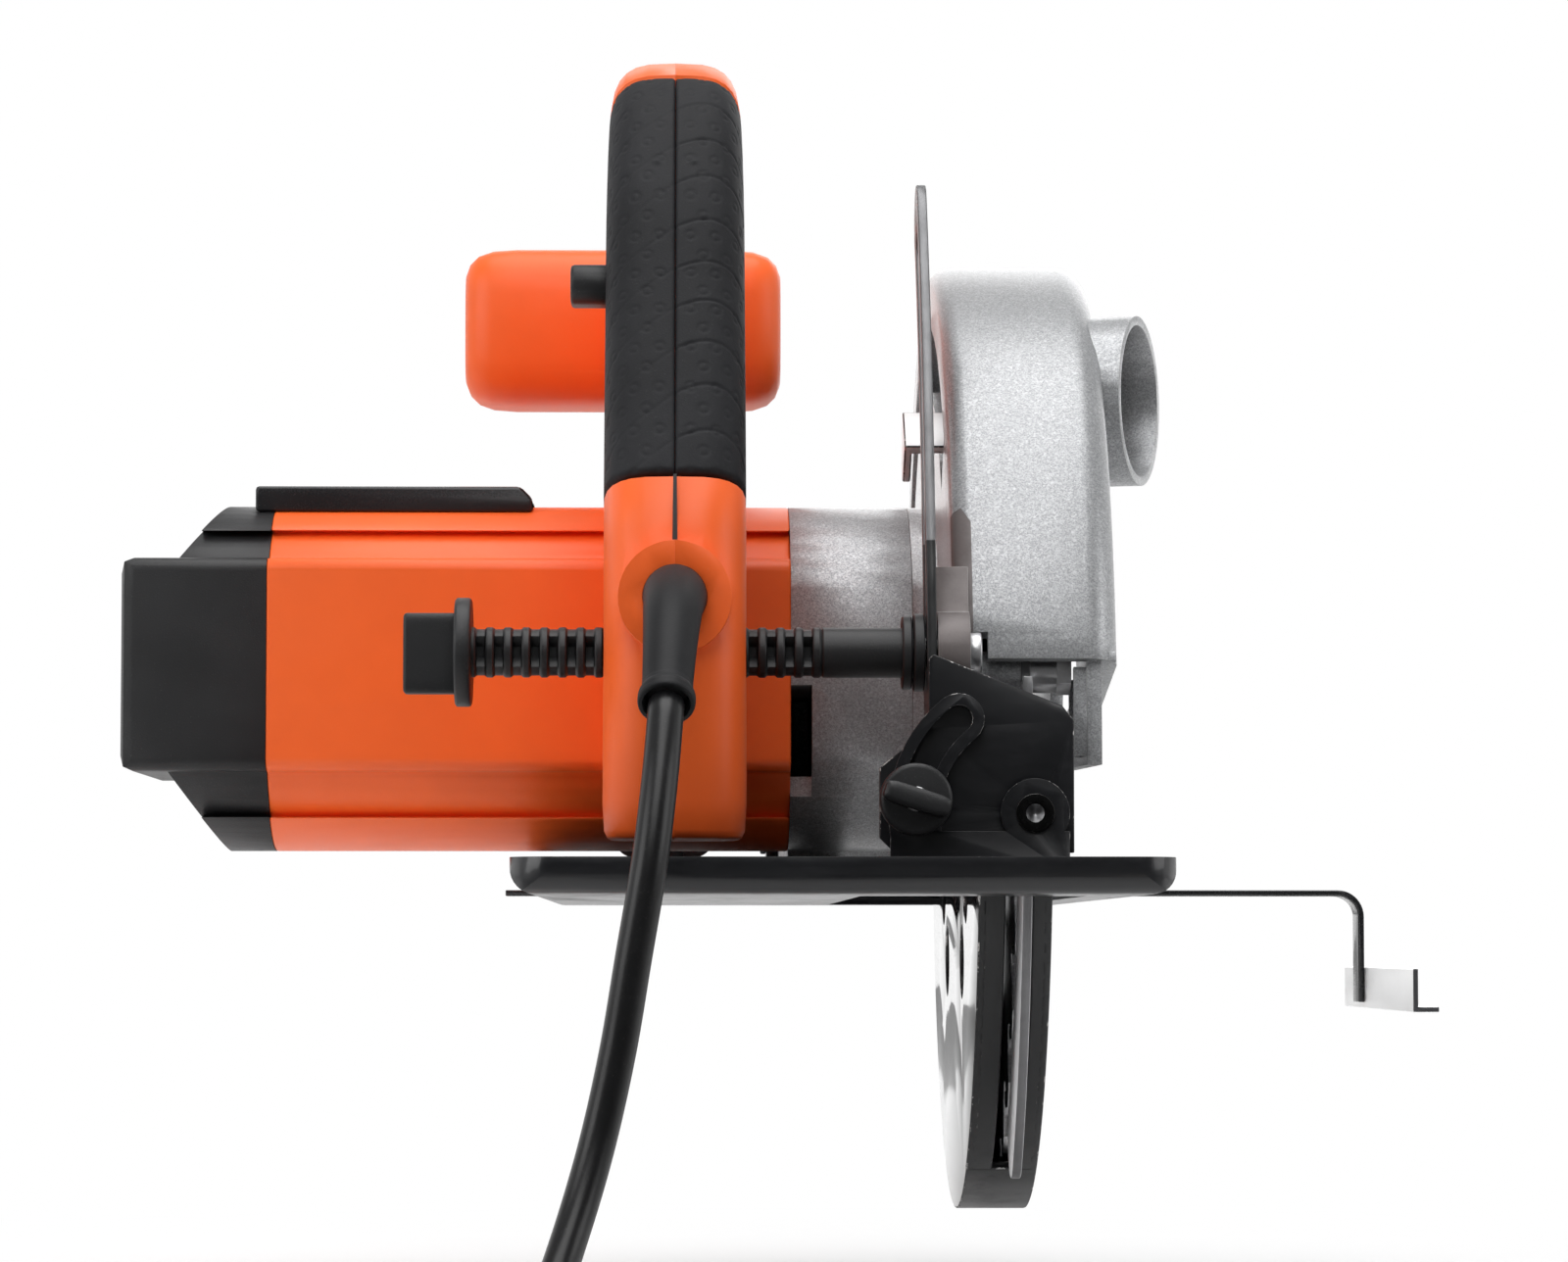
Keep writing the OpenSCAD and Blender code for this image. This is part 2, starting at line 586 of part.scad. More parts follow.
// involute gear outline: n teeth, 25 degree pressure angle, stub addendum; thin is taken off each flank
pressure = 25;
function involute(rb, r) = let (t = sqrt(max(0, r * r / (rb * rb) - 1))) t * 180 / PI - atan(t);
function gear_points(n, m, thin) = let (rp = m * n / 2, rb = rp * cos(pressure), ro = rp + 0.8 * m, rr = rp - 1.05 * m,
  half = 90 / n - thin / rp * 180 / PI + involute(rb, rp), flank = max(rb, rr))
  [for (k = [0:n - 1]) let (c = 360 * k / n) each concat(
    [[rr, c - half]], [for (i = [0:5]) let (r = flank + (ro - flank) * i / 5) [r, c - half + involute(rb, r)]],
    [for (i = [5:-1:0]) let (r = flank + (ro - flank) * i / 5) [r, c + half - involute(rb, r)]], [[rr, c + half]])];
module gear_outline(n, m, thin) polygon([for (p = gear_points(n, m, thin)) p[0] * [cos(p[1]), sin(p[1])]]);

// direction from the arbor to the motor, on which a gear gap meets a pinion tooth
mesh_a = atan2(motor_rise, motor_y - arbor_y);

module motor_shaft() color([0.72, 0.72, 0.74]) {
  rod_x(motor_x0 - 23.5, pinion_x[0], shaft_r, motor_y, motor_z);
  at_motor(pinion_x[0], pinion_x[1]) rotate(mesh_a + 180) gear_outline(pinion_n, gear_m, 0.06);
}

module armature() color([0.45, 0.3, 0.2]) at_motor(motor_x0 + 28, motor_x0 + 82) difference() {
  circle(core_r, $fn = 96);
  circle(shaft_r + fit);
  for (k = [0:11]) rotate(30 * k) translate([core_r - 4, -1.2]) square([5, 2.4]);
}

module commutator() color([0.72, 0.45, 0.25]) at_motor(motor_x0 + 4, motor_x0 + 20) difference() {
  circle(comm_r);
  circle(shaft_r + fit);
  for (k = [0:23]) rotate(15 * k) translate([comm_r - 1.2, -0.3]) square([3, 0.6]);
}

module cooling_fan() color([0.15, 0.15, 0.16]) {
  r = motor_side - housing_t - 1.5;
  x0 = case_x0 - 14;
  at_motor(x0, x0 + 2) difference() { circle(r, $fn = 96); circle(shaft_r + fit); }
  at_motor(x0, x0 + 9) difference() { circle(10); circle(shaft_r + fit); }
  at_motor(x0 + 1, x0 + 9) for (k = [0:10]) rotate(k * 360 / 11) translate([15, -0.8]) square([r - 15.5, 1.6]);
}

// ---- gear housing and arbor ----

gear_case_r = gear_m * gear_n / 2 + 4;
module case_outline() {
  translate([motor_y, motor_z]) flat_round(0, 0);
  translate([arbor_y, arbor_z]) circle(gear_case_r, $fn = 96);
}

// spindle lock: a pin beside the motor that enters one of the gear's holes
lock_n = 8;
lock_hole_r = 3;
lock_r = 2.2;
lock_ring = 15;
lock_a = mesh_a + 207;
lock_travel = 4.5;
lock_at = about_arbor(lock_ring, lock_a);
lock_pad = about_arbor(lock_ring + 5, lock_a);
module gear_housing() color([0.68, 0.69, 0.7]) difference() {
  union() {
    slab_x(case_x0, case_x1) case_outline();
    // arm to the depth pivot
    slab_x(arm_x0, arm_x1) {
      translate([pivot_y, pivot_z]) circle(arm_end);
      polygon([[motor_y, motor_z + 20], [motor_y + 30, motor_z + 18], [pivot_y - 52, pivot_z + 21],
        [pivot_y - 2, pivot_z + arm_end - 1], [pivot_y, pivot_z - arm_end], [pivot_y - 52, pivot_z - 9],
        [arbor_y + 10, arbor_z - 20], [arbor_y, arbor_z]]);
    }
  }
  rod_x(case_x0 - 1, gear_x[0] - 2, lock_r + fit, lock_at[0], lock_at[1], 24);
  // fan space, gear space and bearing seats
  at_motor(case_x0 - 1, -3) motor_bore();
  rod_x(gear_x[0] - 3, case_x1 + 1, gear_m * gear_n / 2 + 1.6, arbor_y, arbor_z);
  rod_x(pinion_x[0] - 1, case_x1 + 1, gear_m * pinion_n / 2 + 3, motor_y, motor_z);
  rod_x(-1.6, 4.6, 13 + fit, motor_y, motor_z);
  rod_x(-4, 8, shaft_r + 1, motor_y, motor_z);
  rod_x(-1, gear_x[0], 9 + fit, arbor_y, arbor_z);
  rod_x(arm_x0 - 1, arm_x1 + 1, pivot_r + fit, pivot_y, pivot_z);
  // lightening pockets in the arm, with a rib left between them
  for (p = [[pivot_y - 47, pivot_z + 6], [pivot_y - 25, pivot_z + 3]]) translate([arm_x1 - 4, p[0] - 8, p[1] - 7])
    cube([6, 17, 12]);
  // air outlet behind
  translate([case_x0 - 1, motor_y - 45, motor_z - 27]) cube([5.6, 20, 24]);
}

module arbor_bearings() color([0.7, 0.7, 0.72]) {
  ring_x(-0.9, 5.1, 4 + fit, 9, arbor_y, arbor_z);
  ring_x(19.5, 27.5, arbor_r + fit, 14, arbor_y, arbor_z);
}

flange_r = 19;
blade_x0 = blade_x - blade_t / 2;
blade_x1 = blade_x + blade_t / 2;
flange_t = 3.5;

module arbor_shaft() color([0.72, 0.72, 0.74]) difference() {
  union() {
    rod_x(-0.9, 6, 4, arbor_y, arbor_z);
    rod_x(6, blade_x0 - 4.5, arbor_r, arbor_y, arbor_z);
    rod_x(blade_x0 - 4.5, blade_x0, 5.5, arbor_y, arbor_z);
  }
  rod_x(blade_x0 - 20, blade_x0 + 1, 4 + fit, arbor_y, arbor_z);
}

module at_arbor(x0, x1) translate([0, arbor_y, arbor_z]) slab_x(x0, x1) children();

module drive_gear() color([0.5, 0.5, 0.52]) at_arbor(gear_x[0], gear_x[1]) difference() {
  rotate(mesh_a + 180 / gear_n) gear_outline(gear_n, gear_m, 0.06);
  circle(arbor_r + fit);
  for (k = [0:lock_n - 1]) rotate(lock_a + 360 * k / lock_n) translate([lock_ring, 0]) circle(lock_hole_r);
}

module inner_flange() color([0.6, 0.6, 0.62]) difference() {
  union() {
    rod_x(blade_x0 - 4.5, blade_x0, flange_r, arbor_y, arbor_z, 64);
    rod_x(blade_x0, blade_x0 + blade_t - 0.2, blade_bore / 2 - fit, arbor_y, arbor_z);
  }
  rod_x(blade_x0 - 5, blade_x0 + 3, 5.5 + fit, arbor_y, arbor_z);
}

module outer_flange() color([0.6, 0.6, 0.62]) difference() {
  union() {
    rod_x(blade_x1, blade_x1 + flange_t - 1, flange_r, arbor_y, arbor_z, 64);
    rod_x(blade_x1, blade_x1 + flange_t, flange_r - 3, arbor_y, arbor_z, 64);
  }
  rod_x(blade_x1 - 1, blade_x1 + 1.2, flange_r - 5, arbor_y, arbor_z);
  rod_x(blade_x1 - 1, blade_x1 + flange_t + 1, 4 + fit, arbor_y, arbor_z);
}

module blade_bolt() color([0.3, 0.3, 0.32]) {
  x0 = blade_x1 + flange_t;
  rod_x(blade_x0 - 18, x0, 4, arbor_y, arbor_z);
  rod_x(x0, x0 + 1.2, 8.5, arbor_y, arbor_z);
  rod_x(x0 + 1.2, x0 + 6, 7.5, arbor_y, arbor_z, 6);
}

// one tooth: gullet, back and the seat of its tip, as radius and angle from the tooth's own place
pitch = 360 / teeth;
tip_h = 5;
tip_l = 1.8;
function degrees(l) = l / blade_r * 180 / PI;
module blade_outline() polygon([for (k = [0:teeth - 1]) let (c = k * pitch) each
  [for (p = [[blade_r - 0.6, c], [blade_r - tip_h, c], [blade_r - tip_h, c + degrees(tip_l)],
    [blade_r - tip_h - 4, c + degrees(tip_l + 1)], [blade_r - tip_h - 6.5, c + degrees(tip_l + 4)], [blade_r - tip_h - 5.5, c + degrees(tip_l + 7.5)],
    [blade_r - tip_h - 1, c + pitch * 0.62], [blade_r - 2.4, c + pitch * 0.7], [blade_r - 1.2, c + pitch * 0.82]])
    p[0] * [cos(p[1]), sin(p[1])]]]);

module saw_blade() color([0.75, 0.76, 0.78]) at_arbor(blade_x0, blade_x1) difference() {
  blade_outline();
  circle(blade_bore / 2);
  // expansion slots, each ending in a round hole
  for (k = [0:3]) rotate(90 * k + 0.75 * pitch) {
    translate([blade_r - 24, 0]) circle(1.8);
    rotate(3) translate([blade_r - 23, -0.5]) square([14, 1]);
    rotate(1.5) translate([blade_r - 24, -0.9]) square([2.5, 3.4]);
  }
}

module carbide_tips() color([0.5, 0.5, 0.5]) at_arbor(blade_x - kerf / 2, blade_x + kerf / 2)
  for (k = [0:teeth - 1]) let (c = k * pitch, e = c + degrees(tip_l))
    polygon([for (p = [[blade_r - tip_h, e], [blade_r - tip_h, c], [blade_r - 0.6, c], [blade_r, e]])
      p[0] * [cos(p[1]), sin(p[1])]]);

// ---- guards ----

// section of the shroud, as radius and plane: outer skin, then inner, with rounded shoulders
shoulder = 6.5;
shroud_in = 20;      // the left wall reaches in to the hub
module shroud_section(in) {
  r = shroud_r - in;
  x0 = in;
  x1 = shroud_w - in;
  q = shoulder - in;
  p = max(4 - in, 0.5);
  polygon(concat([[shroud_in, x0], [r - p, x0]], [for (a = [-60:30:0]) [r - p + p * cos(a), x0 + p + p * sin(a)]],
    [for (a = [0:15:90]) [r - q + q * cos(a), x1 - q + q * sin(a)]], [[shroud_in, x1]]));
}

port_y = arbor_y - 50;
port_z = arbor_z + 79.4;
port_a = 19;         // how far the port looks back
port_len = 24;
module at_port() translate([shroud_x1 - 13, port_y + 4, port_z]) rotate([0, 0, -port_a]) rotate([0, 90, 0]) children();

wall_r0 = 44;        // inner edge of the right wall
low_wall_x = shroud_x1 - shroud_t - 3.6;
lever_slot = [lower_r1 - 11.7, lower_r1 + 2.8];
thumb_a = 130;       // angle at which the lower guard's lift lever rests
guard_swing = 95;
module upper_guard() color([0.7, 0.71, 0.72]) difference() {
  union() {
    difference() {
      union() {
        translate([shroud_x0, arbor_y, arbor_z]) rotate([90, 0, 90])
          rotate_extrude(angle = rear_end - front_end, start = front_end, $fn = 96) difference() {
            shroud_section(0);
            shroud_section(shroud_t);
            translate([0, shroud_w - shroud_t - 1]) square([wall_r0, shroud_t + 2]);
          }
        // walls running on below the shroud
        sector(shroud_in, shroud_r, rear_end - 1, rear_end + 7, shroud_x0, shroud_x0 + shroud_t);
        sector(shroud_in, lower_r1 - 1, rear_end - 1, 190, shroud_x0, shroud_x0 + shroud_t);
        sector(shroud_in, lower_r1 - 1, -8, front_end + 1, shroud_x0, shroud_x0 + shroud_t);
        sector(wall_r0, shroud_r - 2, rear_end - 1, 181, low_wall_x, low_wall_x + shroud_t);
        sector(wall_r0, shroud_r - 2, rear_end - 1, rear_end, low_wall_x, shroud_x1 - 0.5);
        sector(wall_r0, lower_r1, 4, front_end + 1, shroud_x1 - shroud_t, shroud_x1);
        // ribs on the lower end of the right wall
        for (r = [shroud_r - 3.5, shroud_r - 16])
          sector(r - 2, r, rear_end + 0.5, 180, low_wall_x - 2.6, low_wall_x + 0.5);
        // dust port
        intersection() {
          at_port() cylinder(h = port_len, r = port_bore / 2 + port_t, $fn = 96);
          translate([shroud_x1 - shroud_t, port_y - 60, port_z - 60]) cube([60, 120, 120]);
        }
      }
      lever_slot_cut();
    }
    slab_x(case_x1 + 0.1, shroud_x0 + 1) case_outline();
    intersection() {
      slab_x(shroud_x0 - 0.5, shroud_x0 + shroud_t) case_outline();
      rod_x(shroud_x0 - 1, shroud_x0 + shroud_t + 1, 60, arbor_y, arbor_z);
    }
    rod_x(shroud_x0, hub_x1, hub_r, arbor_y, arbor_z, 64);
    // ear for the depth bolt and posts for the knife
    slab_x(quad_x1 + free, shroud_x0 + shroud_t) {
      translate([lever_y, lever_z]) circle(8.5);
      polygon([[lever_y, lever_z + 8.5], [lever_y + 3, lever_z + 18], [lever_y + 14, lever_z + 12],
        [lever_y + 12, lever_z - 6], [lever_y, lever_z - 8.5]]);
    }
    for (a = knife_bolt_at) let (p = about_arbor(knife_bolt_r, a))
      rod_x(shroud_x0, blade_x - knife_t / 2, 4.5, p[0], p[1]);
  }
  rod_x(case_x1 - 1, shroud_x0 + 3.6, 14 + fit, arbor_y, arbor_z);
  rod_x(case_x1 - 1, hub_x1 + 1, arbor_r + 1.5, arbor_y, arbor_z);
  rod_x(quad_x1, shroud_x0 + 5, 3 + fit, lever_y, lever_z);
  rod_x(shroud_x0 + shroud_t, shroud_x0 + shroud_t + 4, 4.4, lever_y, lever_z);
  rod_x(case_x1 - 1, case_x1 + 0.6, gear_m * pinion_n / 2 + 3, motor_y, motor_z);
  for (a = knife_bolt_at) let (p = about_arbor(knife_bolt_r, a))
    rod_x(shroud_x0 + 4, blade_x, 2.5 + fit, p[0], p[1]);
  at_port() translate([0, 0, -6]) cylinder(h = port_len + 12, r = port_bore / 2, $fn = 96);
}

// arc slot for the lower guard's lift lever
module lever_slot_cut()
  sector(lever_slot[0], lever_slot[1], thumb_a - guard_swing - 7, thumb_a + 7, shroud_x0 - 1, shroud_x0 + shroud_t + 0.2);

module hub_ring() color([0.6, 0.6, 0.6]) difference() {
  rod_x(hub_x1, hub_x1 + 1, hub_r + 2.5, arbor_y, arbor_z);
  rod_x(hub_x1 - 1, hub_x1 + 2, arbor_r + 2, arbor_y, arbor_z);
}

module riving_knife() color([0.62, 0.63, 0.65]) difference() {
  x0 = blade_x - knife_t / 2;
  x1 = blade_x + knife_t / 2;
  union() {
    sector(knife_r0, knife_bolt_r + 4.6, knife_bolt_at[1] - 2.5, 172, x0, x1);
    sector(knife_r0, knife_r1, 172, 228, x0, x1);
    // rounded tip
    let (p = about_arbor((knife_r0 + knife_r1) / 2, 228)) rod_x(x0, x1, (knife_r1 - knife_r0) / 2, p[0], p[1]);
  }
  for (a = knife_bolt_at) let (p = about_arbor(knife_bolt_r, a)) rod_x(x0 - 1, x1 + 1, 2.5 + fit, p[0], p[1]);
}

module knife_bolts() color([0.55, 0.55, 0.56])
for (a = knife_bolt_at) let (p = about_arbor(knife_bolt_r, a), x0 = blade_x + knife_t / 2) {
  rod_x(shroud_x0 + 4.5, x0, 2.5, p[0], p[1]);
  rod_x(x0, x0 + 5.5, 4.2, p[0], p[1]);
  rod_x(x0 + 5.5, x0 + 8.5, 4.6, p[0], p[1], 6);
}

module lower_guard() color([0.12, 0.12, 0.13]) {
  rest0 = -172;
  rest1 = 3;
  wall = 1.8;
  difference() {
    union() {
      sector(hub_r + 0.5, lower_r1, rest0, rest1, lower_x0, lower_x0 + wall);
      ring_x(lower_x0, lower_x0 + wall, hub_r + fit, hub_r + 6, arbor_y, arbor_z);
      // arm that carries the lift lever
      sector(lever_slot[0] - 8, lower_r1 - 0.6, thumb_a - 4, rest0 + 361, lower_x0, lower_x0 + wall);
      sector(40, lever_slot[0], 176, rest0 + 361, lower_x0, lower_x0 + wall);
    }
    // light holes
    for (a = [-150, -125, -55, -30]) let (p = about_arbor(52, a)) rod_x(lower_x0 - 1, lower_x0 + 3, 8, p[0], p[1]);
  }
  sector(27, lower_r1, rest0, rest1, lower_x1 - wall, lower_x1);
  sector(lower_r0, lower_r1, -117, rest1, lower_x0, lower_x1);
  // lift lever: a bent tab that comes out through the slot of the upper guard
  sector(lift_r - 1, lift_r + 1, thumb_a - 4, thumb_a + 4, shroud_x0 - 8, lower_x0 + 0.5);
  hull() {
    sector(lift_r - 1, lift_r + 1, thumb_a - 4, thumb_a + 4, shroud_x0 - 8, shroud_x0 - 6.4);
    let (p = about_arbor(lift_r - 7, thumb_a)) rod_x(shroud_x0 - 8, shroud_x0 - 6.4, 5, p[0], p[1]);
  }
}
lift_r = (lever_slot[0] + lever_slot[1]) / 2;

// two turns of the torsion spring round the hub
module guard_spring() color([0.7, 0.7, 0.7]) for (x = [1, 2.2])
  translate([shroud_x0 + shroud_t + x, arbor_y, arbor_z]) rotate([0, 90, 0])
    rotate_extrude() translate([hub_r + 2.2, 0]) circle(0.55, $fn = 16);

// ---- depth lever ----

module depth_bolt() color([0.7, 0.7, 0.7]) {
  rod_x(0, shroud_x0 + shroud_t, 3, lever_y, lever_z);
  rod_x(shroud_x0 + shroud_t, shroud_x0 + shroud_t + 2.6, 4.2, lever_y, lever_z);
}

// long lever: hub, ribbed shank, flange and finger tab
module depth_lever() color([0.16, 0.16, 0.17]) {
  hub1 = quad_x1 - quad_t - free;
  hub0 = hub1 - 21;
  knob_x = -75;
  rib_pitch = 3.72;
  difference() {
    union() {
      rod_x(hub0, hub1, 5.15, lever_y, lever_z);
      rod_x(hub1 - 2, hub1, 8, lever_y, lever_z);
      rod_x(hub1 - 4.6, hub1 - 2.6, 7.6, lever_y, lever_z);
    }
    rod_x(-1, hub1 + 1, 3 + fit, lever_y, lever_z);
  }
  rod_x(knob_x, hub0 + 0.5, 3.6, lever_y, lever_z);
  for (k = [0:floor((hub0 - knob_x) / rib_pitch) - 1])
    rod_x(knob_x + 2 + k * rib_pitch, knob_x + 3.7 + k * rib_pitch, 5, lever_y, lever_z);
  for (a = [0, 90]) translate([knob_x, lever_y, lever_z]) rotate([a, 0, 0])
    translate([0, -4.8, -0.9]) cube([hub0 - knob_x, 9.6, 1.8]);
  rod_x(knob_x - 3.4, knob_x, 11.2, lever_y, lever_z, 64);
  translate([knob_x - 14, lever_y - 3, lever_z - 8]) cube([11, 6, 15.6]);
}

// ---- handle ----

// centre line of the handle in Y and Z, with half depth and half width at each place
half_w = handle_w / 2;
handle_path = [for (p = [[-97, -37.9, 18, 0.9], [-97, -33.5, 20, 1], [-97, -5.5, 20.5, 1], [-95.5, 18.5, 19.5, 1],
  [-87, 43.5, 17.5, 1], [-74, 69.5, 16.5, 1], [-60, 93.9, 16.5, 1], [-41, 113.2, 16.3, 0.98],
  [-15, 119.8, 15.8, 0.95], [13, 113, 15.2, 0.9], [35, 95.2, 15, 0.86], [43, 72.5, 15, 0.86],
  [38, 53.5, 15, 0.86], [24, 40, 15, 0.86]]) [p[0], motor_z + p[1], p[2], half_w * p[3]]];
grip_from = 3.45;
grip_to = 7.1;
leg_more = 3.4;      // the left half is this much wider at the front leg
grip_share = 0.5;    // how far round the section the rubber reaches, as a share of the half depth
half_n = 14;
handle_us = concat([for (k = [0:9]) grip_from * k / 9],
  [for (k = [0:14]) grip_from + 0.03 + (grip_to - grip_from - 0.06) * k / 14],
  [for (k = [0:13]) grip_to + (len(handle_path) - 1 - grip_to) * k / 13]);

// half section at u, starting at the seam behind; the outline is a superellipse, inset by in
function handle_half(u, in, covered, more = 0) = let (q = curve(handle_path, u), d = heading([for (p = handle_path) [p[0], p[1]]], u),
  nrm = [d[1], -d[0]])
  [for (j = [0:half_n]) let (a = -90 + 180 * j / half_n, s = sin(a), c = max(0, cos(a)),
    k = !covered || s < grip_share ? in : 0, b = (q[2] - k) * sign(s) * pow(abs(s), 2 / 3.4),
    w = j == 0 || j == half_n ? 0 : (q[3] + more * min(1, max(0, u - 9.2)) - k) * pow(c, 2 / 3.4), y = q[0] + nrm[0] * b, z = q[1] + nrm[1] * b)
    [w, y, z]];
function in_grip(u) = u > grip_from && u < grip_to;

module half_loft(more = 0) skin([for (u = handle_us) handle_half(u, in_grip(u) ? grip_t : 0, true, more)]);

// the half sections lie to the right of the seam; the left half is their mirror image
module at_handle(side) translate([handle_x, 0, 0]) mirror([side < 0 ? 1 : 0, 0, 0]) children();

// web between the handle's column and the motor, and the saddle over the housing
web_w = 12;
module handle_web() rotate([90, 0, 90]) linear_extrude(web_w) difference() {
  polygon([[-90, motor_z - 29.5], [motor_y - 33, motor_z - 29.5], [motor_y - 10, motor_z], [motor_y + 24, motor_z + 24], [motor_y + 40, motor_z + 36],
    [motor_y + 34, motor_z + 46], [motor_y - 36, motor_z + 43], [-76, motor_z + 40]]);
  translate([motor_y, motor_z]) motor_outline(fit);
}

// trigger place, in a frame turned with the grip: first axis along the grip, second toward the fingers
trig_lean = 62;      // angle of the grip from level
module at_trigger() translate([handle_x, -74, motor_z + 69.5]) rotate([trig_lean, 0, 0]) children();
screw_at = [for (p = [[-97, -25.5], [-62, 30.5], [-10, 119], [40, 83.5], [30, 45.5]]) [p[0], motor_z + p[1]]];
button_at = [-63, motor_z + 80.5];
switch_half = 8.9;
button_travel = 4;
button_out = 7.5;    // how far the button stands out of the grip
button_len = 10.3;

module handle_cuts() {
  rod_x(handle_x - 20, handle_x + 20, 6, lever_y, lever_z);
  at_motor(motor_x0, case_x0) motor_outline(fit);
  // trigger space, with the moulded pin that the trigger turns on
  at_trigger() difference() {
    translate([-7.2, -19, -21]) cube([14.4, 46, 17.5]);
    translate([-8, trig_pin[0], trig_pin[1]]) rotate([0, 90, 0]) cylinder(h = 16, r = 1.5);
  }
  at_trigger() translate([-switch_half - free, -16 - free, -4.5]) cube([2 * (switch_half + free), 24 + 2 * free, 14]);
  rod_y(-125, -106.5, 6.5 + fit, handle_x, relief_z);
  for (p = screw_at) {
    rod_x(handle_x - 20, handle_x + 11, 1.8 + fit, p[0], p[1], 24);
    rod_x(handle_x - 20, handle_x - 8.9, 3.4 + fit, p[0], p[1], 24);
  }
  for (x = front_screw_x) rod_y(43.5, front_y0 + 3, 2 + fit, x, front_z, 24);
}

// front handle's place, its two screws and the boss it fits over
front_x = handle_x - 12.4;
front_y0 = 58.6;
front_z = motor_z + 87.5;
front_screw_x = [handle_x - 5.5, handle_x + 5.5];
boss_half = 10;
boss_in = 2.2;

module handle_half_body(side) difference() {
  union() {
    at_handle(side) {
      half_loft(side < 0 ? leg_more : 0);
      handle_web();
    }
    intersection() {
      rod_y(-119.5, -104, 11.5, handle_x, relief_z);
      translate([side < 0 ? handle_x - 30 : handle_x, -130, 0]) cube([30, 60, 120]);
    }
    // boss that the front handle fits over
    at_handle(side) translate([0, 44, front_z - 11]) cube([boss_half, front_y0 + boss_in - 44, 22]);
  }
  handle_cuts();
  button_hole();
}

module button_outline(grow) {
  for (s = [-1, 1]) translate([button_at[0] + s * 2.5, button_at[1]]) circle(4.3 + grow);
  translate([button_at[0] - 2.5, button_at[1] - 4.3 - grow]) square([5, 8.6 + 2 * grow]);
}
button_x0 = handle_x - half_w - button_out;
module button_hole() slab_x(handle_x - 20, button_x0 + button_len + button_travel + free) button_outline(free);

module handle_left() color([0.98, 0.38, 0.14]) handle_half_body(-1);
module handle_right() color([0.98, 0.38, 0.14]) handle_half_body(1);

// rubber skin over the back and sides of the grip
module grip_half(side) {
  us = [for (u = handle_us) if (in_grip(u)) u];
  m = len([for (j = [0:half_n]) if (sin(-90 + 180 * j / half_n) < grip_share) j]);
  rings = [for (u = us) let (o = handle_half(u, 0, false), i = handle_half(u, grip_t, false))
    concat([for (j = [0:m - 1]) o[j]], [for (j = [m - 1:-1:0]) i[j]])];
  at_handle(side) ribbon(rings, m);
}

// skins rings of 2 m points whose halves are the outer and inner side, with strips as caps
module ribbon(rings, m) {
  n = len(rings);
  w = 2 * m;
  polyhedron(points = [for (r = rings) each r], faces = concat(
    [for (j = [0:m - 2]) [j, j + 1, w - 2 - j, w - 1 - j]],
    [for (i = [0:n - 2]) for (j = [0:w - 1]) let (a = i * w + j, b = i * w + (j + 1) % w)
      each [[a, a + w, b], [b, a + w, b + w]]],
    [for (j = [0:m - 2]) let (a = (n - 1) * w) [a + w - 1 - j, a + w - 2 - j, a + j + 1, a + j]]));
}

module grip_left() color([0.13, 0.13, 0.14]) difference() { grip_half(-1); button_hole(); }
module grip_right() color([0.13, 0.13, 0.14]) grip_half(1);

module handle_screws() color([0.3, 0.3, 0.3]) {
  for (p = screw_at) {
    rod_x(handle_x - 9, handle_x + 10, 1.8, p[0], p[1], 24);
    rod_x(handle_x - 11.4, handle_x - 9, 3.4, p[0], p[1], 24);
  }
  for (x = front_screw_x) {
    rod_y(44, front_y0 + 22, 2, x, front_z, 24);
    rod_y(front_y0 + 22, front_y0 + 24.5, 4, x, front_z, 24);
  }
}

// front handle: rounded bar across the saw, lofted along X, with a step round its lower half
module front_handle() color([0.98, 0.38, 0.14]) difference() {
  xs = [0, 1, 3, 6.5, 12, front_w / 2, front_w - 12, front_w - 6.5, front_w - 3, front_w - 1, front_w];
  grow = [0.62, 0.78, 0.9, 0.975, 1, 1, 1, 0.975, 0.9, 0.78, 0.62];
  skin([for (i = [0:10]) let (in = (1 - grow[i]) * 16)
    [for (j = [0:31]) let (a = -360 * j / 32, s = sin(a), c = cos(a))
      [front_x - front_w / 2 + xs[i], front_y0 + front_d / 2 + (front_d / 2 - in) * sign(c) * pow(abs(c), 2 / 3.6),
        front_z + (front_h / 2 - in) * sign(s) * pow(abs(s), 2 / 3.6)]]]);
  translate([handle_x - boss_half - free, front_y0 - 1, front_z - 11 - free])
    cube([2 * (boss_half + free), 1 + boss_in + free, 22 + 2 * free]);
  for (x = front_screw_x) {
    rod_y(front_y0 - 1, front_y0 + 40, 2 + fit, x, front_z, 24);
    rod_y(front_y0 + 22, front_y0 + 40, 4 + fit, x, front_z, 24);
  }
}

module switch_body() color([0.2, 0.2, 0.22]) at_trigger()
  translate([-switch_half, -16, -4.2]) cube([2 * switch_half, 23.5, 13.4]);

// trigger: bowed finger face and a pivot lug at its upper end
trig_pin = [22, -9];
module trigger() color([0.1, 0.1, 0.1]) at_trigger() {
  slab_x(-6.9, 6.9) difference() {
    union() {
      translate(trig_pin) circle(3.6);
      polygon([[trig_pin[0] + 2, -12.4], [trig_pin[0] + 3.6, -9], [16, -6.6], [-13, -9.5], [-15, -14], [-16, -23],
        [-13, -25.5], [-6, -24.2], [2, -23.6], [10, -24], [17, -24], [22, -20.5]]);
    }
    translate(trig_pin) circle(1.5 + fit);
  }
}

module lock_off_button() color([0.1, 0.1, 0.1]) slab_x(button_x0, button_x0 + button_len) button_outline(0);

